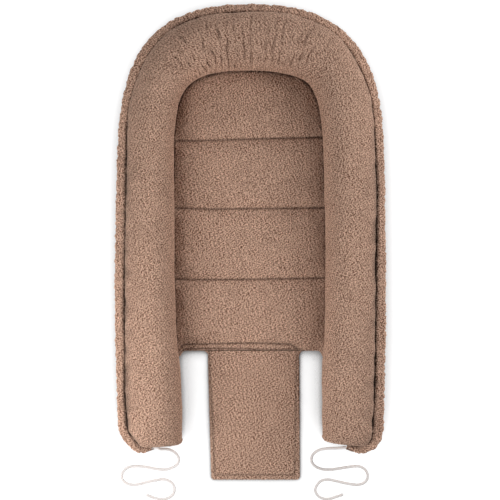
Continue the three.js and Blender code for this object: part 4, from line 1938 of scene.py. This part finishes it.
@dataclass
class FootFlap:
    """The thin padded flap that is sewn to the bed's foot edge."""

    fabrics: Fabrics
    stitching: Stitching = Stitching()
    top_y: float = -219.6
    end_y: float = -484.6
    left_top: float = -86.5
    left_end: float = -79.5
    right_top: float = 101.0
    right_end: float = 102.5
    thickness: float = 6.0
    lining: float = 1.3
    corner: float = 6.5
    flare: float = 10.0  # how much it widens into the seam at its top
    edge_round: float = 3.4
    edge_places: tuple[float, ...] = (0.0, 0.12, 0.35, 0.75, 1.3, 2.1, 3.2)
    edge_roughness: float = 1.1
    edge_patch: float = 7.0
    step: float = 1.35
    stitch_inset: float = 8.0
    stitch_inset_right: float = 10.5
    stitch_inset_end: float = 10.0
    crease_width: float = 4.6
    crease_depth: float = 1.5
    lump_sizes: LumpSizes = ((Seed.FLAP_LUMPS, 1.2, 60.0), (Seed.FLAP_SMALL_LUMPS, 0.8, 24.0))
    seam_swell: float = 1.6
    bend_length: float = 12.0
    bend_z: float = 6.0
    fill: float = 0.25

    def _sides(self, y: np.ndarray, inset: float = 0.0) -> tuple[np.ndarray, np.ndarray]:
        """The flap's edges, rounded at the corners.

        Args:
            y: Y of the places.
            inset: How far inside them the back's own edges lie, 0 for the face.

        Returns:
            X of the left and of the right edge at each place.
        """
        share = (self.top_y - y) / (self.top_y - self.end_y)
        left = self.left_top + (self.left_end - self.left_top) * share
        right = self.right_top + (self.right_end - self.right_top) * share
        tuck = inset + 0.98 * fillet(y - self.end_y, self.corner)
        if inset == 0.0:
            tuck = tuck - fillet(self.top_y - y, self.flare)
        return left + tuck, right - tuck

    def _lines(self) -> tuple[StitchLine, ...]:
        """The topstitching: down one side, along the end and up the other.

        Returns:
            Its three rows.
        """
        low = self.end_y + self.stitch_inset_end
        top = self.top_y - 1.0
        left, right = self._sides(np.array([top, low]))
        left_top, left_low = left + self.stitch_inset
        right_top, right_low = right - self.stitch_inset_right
        corners = (
            (left_top, top), (left_low, low), (right_low, low + 0.6), (right_top, top),
        )
        return tuple(StitchLine(pair) for pair in zip(corners, corners[1:]))

    def _crease(self, x: np.ndarray, y: np.ndarray, width: float) -> np.ndarray:
        """How deep places lie in the topstitching, 1 in its middle."""
        return np.maximum.reduce([ridge(line.distance(x, y), width) for line in self._lines()])

    def heights(self, x: np.ndarray, y: np.ndarray) -> tuple[np.ndarray, np.ndarray]:
        """The flap's top, without its pile, and the painted shade in its topstitching.

        Args:
            x: X of the places.
            y: Y of the places.

        Returns:
            Z, and how much shade is painted in the topstitching.
        """
        left, right = self._sides(y)
        inside = np.minimum(np.minimum(x - left, right - x), y - self.end_y)
        inside = np.clip(inside, 0.0, self.edge_round) / self.edge_round
        edge = np.sqrt(np.clip(1.0 - (1.0 - inside) ** 2, 0.0, 1.0))
        # The topstitching's crease gives both its depth and the painted shade in it.
        crease = 0.45 * self._crease(x, y, self.crease_width)
        # It thickens a little where it is sewn under the bed's edge.
        seam = self.seam_swell * ridge(self.top_y - y, 9.0)
        padding = self.thickness - self.lining + lumps(on_plane(x, y), self.lump_sizes) + seam
        return self.lining + (padding - self.crease_depth * crease) * edge, crease

    def _spread(self, length: float) -> np.ndarray:
        """Shares from 0 to 1, closer together near both ends.

        Args:
            length: The length that they share out.

        Returns:
            The shares.
        """
        near = np.array(self.edge_places)
        reach = near[-1]
        even = np.linspace(reach, length - reach, round((length - 2.0 * reach) / self.step))
        return np.concatenate([near[:-1], even, length - near[-2::-1]]) / length

    def _bend(self, piece: bpy.types.Object) -> None:
        """Bakes the piece's placement into its mesh.

        Args:
            piece: The piece.
        """
        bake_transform(piece)

    def build_top(self) -> bpy.types.Object:
        """The bouclé face of the flap.

        Returns:
            The face with rounded edges and topstitching.
        """
        y = self.end_y + (self.top_y - self.end_y) * self._spread(self.top_y - self.end_y)
        left, right = self._sides(y)
        rough = Unevenness(Seed.FLAP_EDGE)
        left = left + self.edge_roughness * rough.at(on_plane(0.0 * y, y), self.edge_patch)
        right = right + self.edge_roughness * rough.at(on_plane(0.0 * y + 50.0, y), self.edge_patch)
        across = self._spread(self.right_top - self.left_top)
        x = left[:, None] + (right - left)[:, None] * across
        y = np.broadcast_to(y[:, None], x.shape)
        z, crease = self.heights(x, y)
        even = Grid(np.stack([x, y, z], axis=-1))
        piece = self.fabrics.knit("flap_face", even, crease, 0.8)
        self._bend(piece)
        stand_for(piece, self.fill, "flap_top_layer", "flap_wadding")
        return piece

    def build_underside(self) -> bpy.types.Object:
        """The cotton back of the flap.

        Returns:
            The back, dimpled under the topstitching.
        """
        y = np.linspace(self.end_y + 0.8, self.top_y, 110)
        left, right = self._sides(y, 0.6)
        x = right[:, None] + (left - right)[:, None] * np.linspace(0.0, 1.0, 80)
        y = np.broadcast_to(y[:, None], x.shape)
        panel = thin_panel(x, y, 0.1 + 0.5 * self._crease(x, y, 5.0), self.lining - 0.05)
        piece = self.fabrics.cotton("flap_back", panel)
        self._bend(piece)
        stand_for(piece, self.fill, "flap_bottom_layer")
        return piece

    def build_stitches(self) -> bpy.types.Object:
        """The thread of the topstitching.

        Returns:
            The stitches.
        """
        middles, ways = self.stitching.marks(self._lines())
        heights, _ = self.heights(middles[:, 0], middles[:, 1])
        piece = self.stitching.sew("flap_stitching", middles, ways, heights - 0.25, self.fabrics)
        self._bend(piece)
        return piece


# Studio


@dataclass(frozen=True)
class SoftLamp:
    """One large soft lamp that looks at the lounger."""

    name: str
    place: tuple[float, float, float]
    power: float
    size: float = 0.8
    aim: tuple[float, float, float] = (0.0, -0.05, 0.0)

    def build(self) -> None:
        """Hangs the lamp and turns it to what it lights."""
        data = bpy.data.lights.new(self.name, "AREA")
        data.shape = "DISK"
        data.size = self.size
        data.energy = self.power
        lamp = put(self.name, data)
        lamp.location = self.place
        way = Vector(self.aim) - Vector(self.place)
        lamp.rotation_euler = way.to_track_quat("-Z", "Y").to_euler()


@dataclass(frozen=True)
class ContactShade:
    """Shade on the floor beside the lounger, by how much of the sky a place sees."""

    reach: float  # how far away something still shades, in metres
    least: float  # the opening at which the shade is deepest
    full: float  # the opening from which there is none
    share: float  # of the glow that is left in the deepest shade


@dataclass
class Studio:
    """Floor, sky, lamps and the camera straight above."""

    floor_size: float = 12.0
    floor_colour: int = 0xF2F2F2
    seen_colour: int = 0x969696  # what the camera sees of the lamps' light on the floor
    glow: float = 0.95
    shades: tuple[ContactShade, ...] = (
        ContactShade(0.15, 0.40, 0.72, 0.20),  # beside the roll
        ContactShade(0.025, 0.70, 1.0, 0.35),  # close beside thin edges
    )
    sky_colour: int = 0xF0F6FF
    sky_strength: float = 0.12
    camera_place: tuple[float, float, float] = (0.0, -0.0126, 2.6)
    lens: float = 91.0
    sensor: float = 36.0
    lamps: tuple[SoftLamp, ...] = (
        SoftLamp("key", (-0.76, -0.51, 0.79), 9.2),
        SoftLamp("right_side", (1.30, 0.43, 0.80), 9.9),
        SoftLamp("foot_right", (1.00, -0.89, 0.92), 3.4),
        SoftLamp("head_side", (0.0, 1.45, 0.55), 3.9),
    )

    def _floor(self) -> None:
        """A plain pale floor that the camera sees as white and that keeps shadows."""
        half = 0.5 * self.floor_size
        corners = [(-half, -half, 0.0), (half, -half, 0.0), (half, half, 0.0), (-half, half, 0.0)]
        mesh = bpy.data.meshes.new("studio_floor")
        mesh.from_pydata(corners, [], [(0, 1, 2, 3)])
        floor = put("studio_floor", mesh)
        material, tree = new_tree("studio_paper")
        rays = add_node(tree, "ShaderNodeLightPath")
        seen = add_node(
            tree, "ShaderNodeMath", {"operation": "MAXIMUM"},
            {0: rays.outputs["Is Camera Ray"], 1: rays.outputs["Is Glossy Ray"]},
        )
        glow = seen
        for shade in self.shades:
            beside = add_node(
                tree, "ShaderNodeAmbientOcclusion", {"samples": 8}, {"Distance": shade.reach}
            )
            left = add_node(
                tree, "ShaderNodeMapRange", {},
                {0: beside.outputs["AO"], 1: shade.least, 2: shade.full, 3: shade.share, 4: 1.0},
            )
            glow = add_node(tree, "ShaderNodeMath", {"operation": "MULTIPLY"}, {0: glow, 1: left})
        strength = add_node(
            tree, "ShaderNodeMath", {"operation": "MULTIPLY"}, {0: glow, 1: self.glow}
        )
        colour = add_node(
            tree, "ShaderNodeMix", {"data_type": "RGBA"},
            {0: seen, 6: linear(self.floor_colour), 7: linear(self.seen_colour)},
        )
        paper = add_node(tree, "ShaderNodeBsdfDiffuse", {}, {"Color": colour.outputs[2]})
        light = add_node(tree, "ShaderNodeEmission", {}, {"Strength": strength})
        both = add_node(tree, "ShaderNodeAddShader", {}, {0: paper, 1: light})
        add_node(tree, "ShaderNodeOutputMaterial", {}, {"Surface": both})
        floor.data.materials.append(material)

    def _sky(self) -> None:
        """Even light from all sides, and white where the camera sees past the floor."""
        world = bpy.data.worlds.new("studio_sky")
        world.use_nodes = True
        tree = world.node_tree
        tree.nodes.clear()
        rays = add_node(tree, "ShaderNodeLightPath")
        strength = add_node(
            tree, "ShaderNodeMix", {"data_type": "FLOAT"},
            {0: rays.outputs["Is Camera Ray"], 2: self.sky_strength, 3: 1.0},
        )
        sky = add_node(
            tree, "ShaderNodeBackground", {},
            {"Color": linear(self.sky_colour), "Strength": strength},
        )
        add_node(tree, "ShaderNodeOutputWorld", {}, {"Surface": sky})
        bpy.context.scene.world = world

    def build(self) -> None:
        """Makes the camera, the floor, the sky and the lamps."""
        data = bpy.data.cameras.new("camera")
        data.lens = self.lens
        data.sensor_width = self.sensor
        camera = put("camera", data)
        camera.location = self.camera_place
        bpy.context.scene.camera = camera
        bpy.context.scene.view_settings.view_transform = "Standard"
        self._floor()
        self._sky()
        for lamp in self.lamps:
            lamp.build()


LEFT_ROUTE = (
    (-182, -415.5), (-168, -417.5), (-156, -424), (-148, -434), (-146, -443), (-149.5, -453),
    (-159, -459.5), (-172, -463.5), (-186, -463.5), (-200.5, -461), (-217, -458), (-234.5, -457),
    (-250, -459.5), (-259.5, -467), (-263.5, -478), (-260, -487), (-250, -493.5), (-236, -495),
    (-222, -492.5), (-205, -488), (-191, -485.5), (-178, -484), (-166.5, -487), (-158, -494),
    (-155, -504), (-158, -514.5), (-166.5, -521.5), (-179, -525), (-193.5, -523), (-205, -519),
    (-214.5, -515.5),
)
RIGHT_ROUTE = (
    (185.5, -413), (175, -414.5), (161, -416.5), (145.5, -420.5), (134, -427.5), (127, -437),
    (127, -448), (134, -457), (146.5, -462.5), (161.5, -464), (177.5, -462.5), (195, -459.5),
    (211, -457.5), (225, -457.5), (236, -463.5), (241.5, -473), (241, -483), (233.5, -491.5),
    (221, -495), (208.5, -494), (190, -490.5), (175, -487), (159, -484.5), (146.5, -487),
    (137.5, -496), (134, -506.5), (139, -516.5), (149, -523), (162.5, -524), (177.5, -519.5),
    (193, -514.5),
)


def main() -> None:
    """Builds the studio and every piece of the lounger, in order."""
    logging.basicConfig(level=logging.INFO, format="%(message)s")
    Studio().build()
    log.info("studio: camera, floor, sky and lamps")
    boucle = Boucle()
    fabrics = Fabrics(
        boucle=boucle,
        boucle_material=boucle.material(),
        poplin=Poplin().material(),
        cord=CottonYarn().material(),
        thread=CottonYarn("sewing_thread", 0x8F6F5B, 0x6E5240, fibre_spacing=0.3).material(),
    )
    for cord in (
        FreeCord(Side.LEFT, LEFT_ROUTE, 415.3, 0.79, fabrics),
        FreeCord(Side.RIGHT, RIGHT_ROUTE, 430.3, 0.67, fabrics),
    ):
        log.info("cord: %s", cord.build().name)
    shape = RollShape()
    covers = RollCovers(shape, fabrics)
    tunnel = DrawstringTunnel(shape, fabrics)
    for side in Side:
        for build in (
            covers.build_upper, covers.build_lower, covers.build_end,
            tunnel.build_tunnel, tunnel.build_cord,
        ):
            log.info("roll: %s", build(side).name)
    for part in (QuiltedBed(shape, fabrics), FootFlap(fabrics)):
        for build in (part.build_top, part.build_underside, part.build_stitches):
            log.info("bed and flap: %s", build().name)


if __name__ == "__main__":
    main()
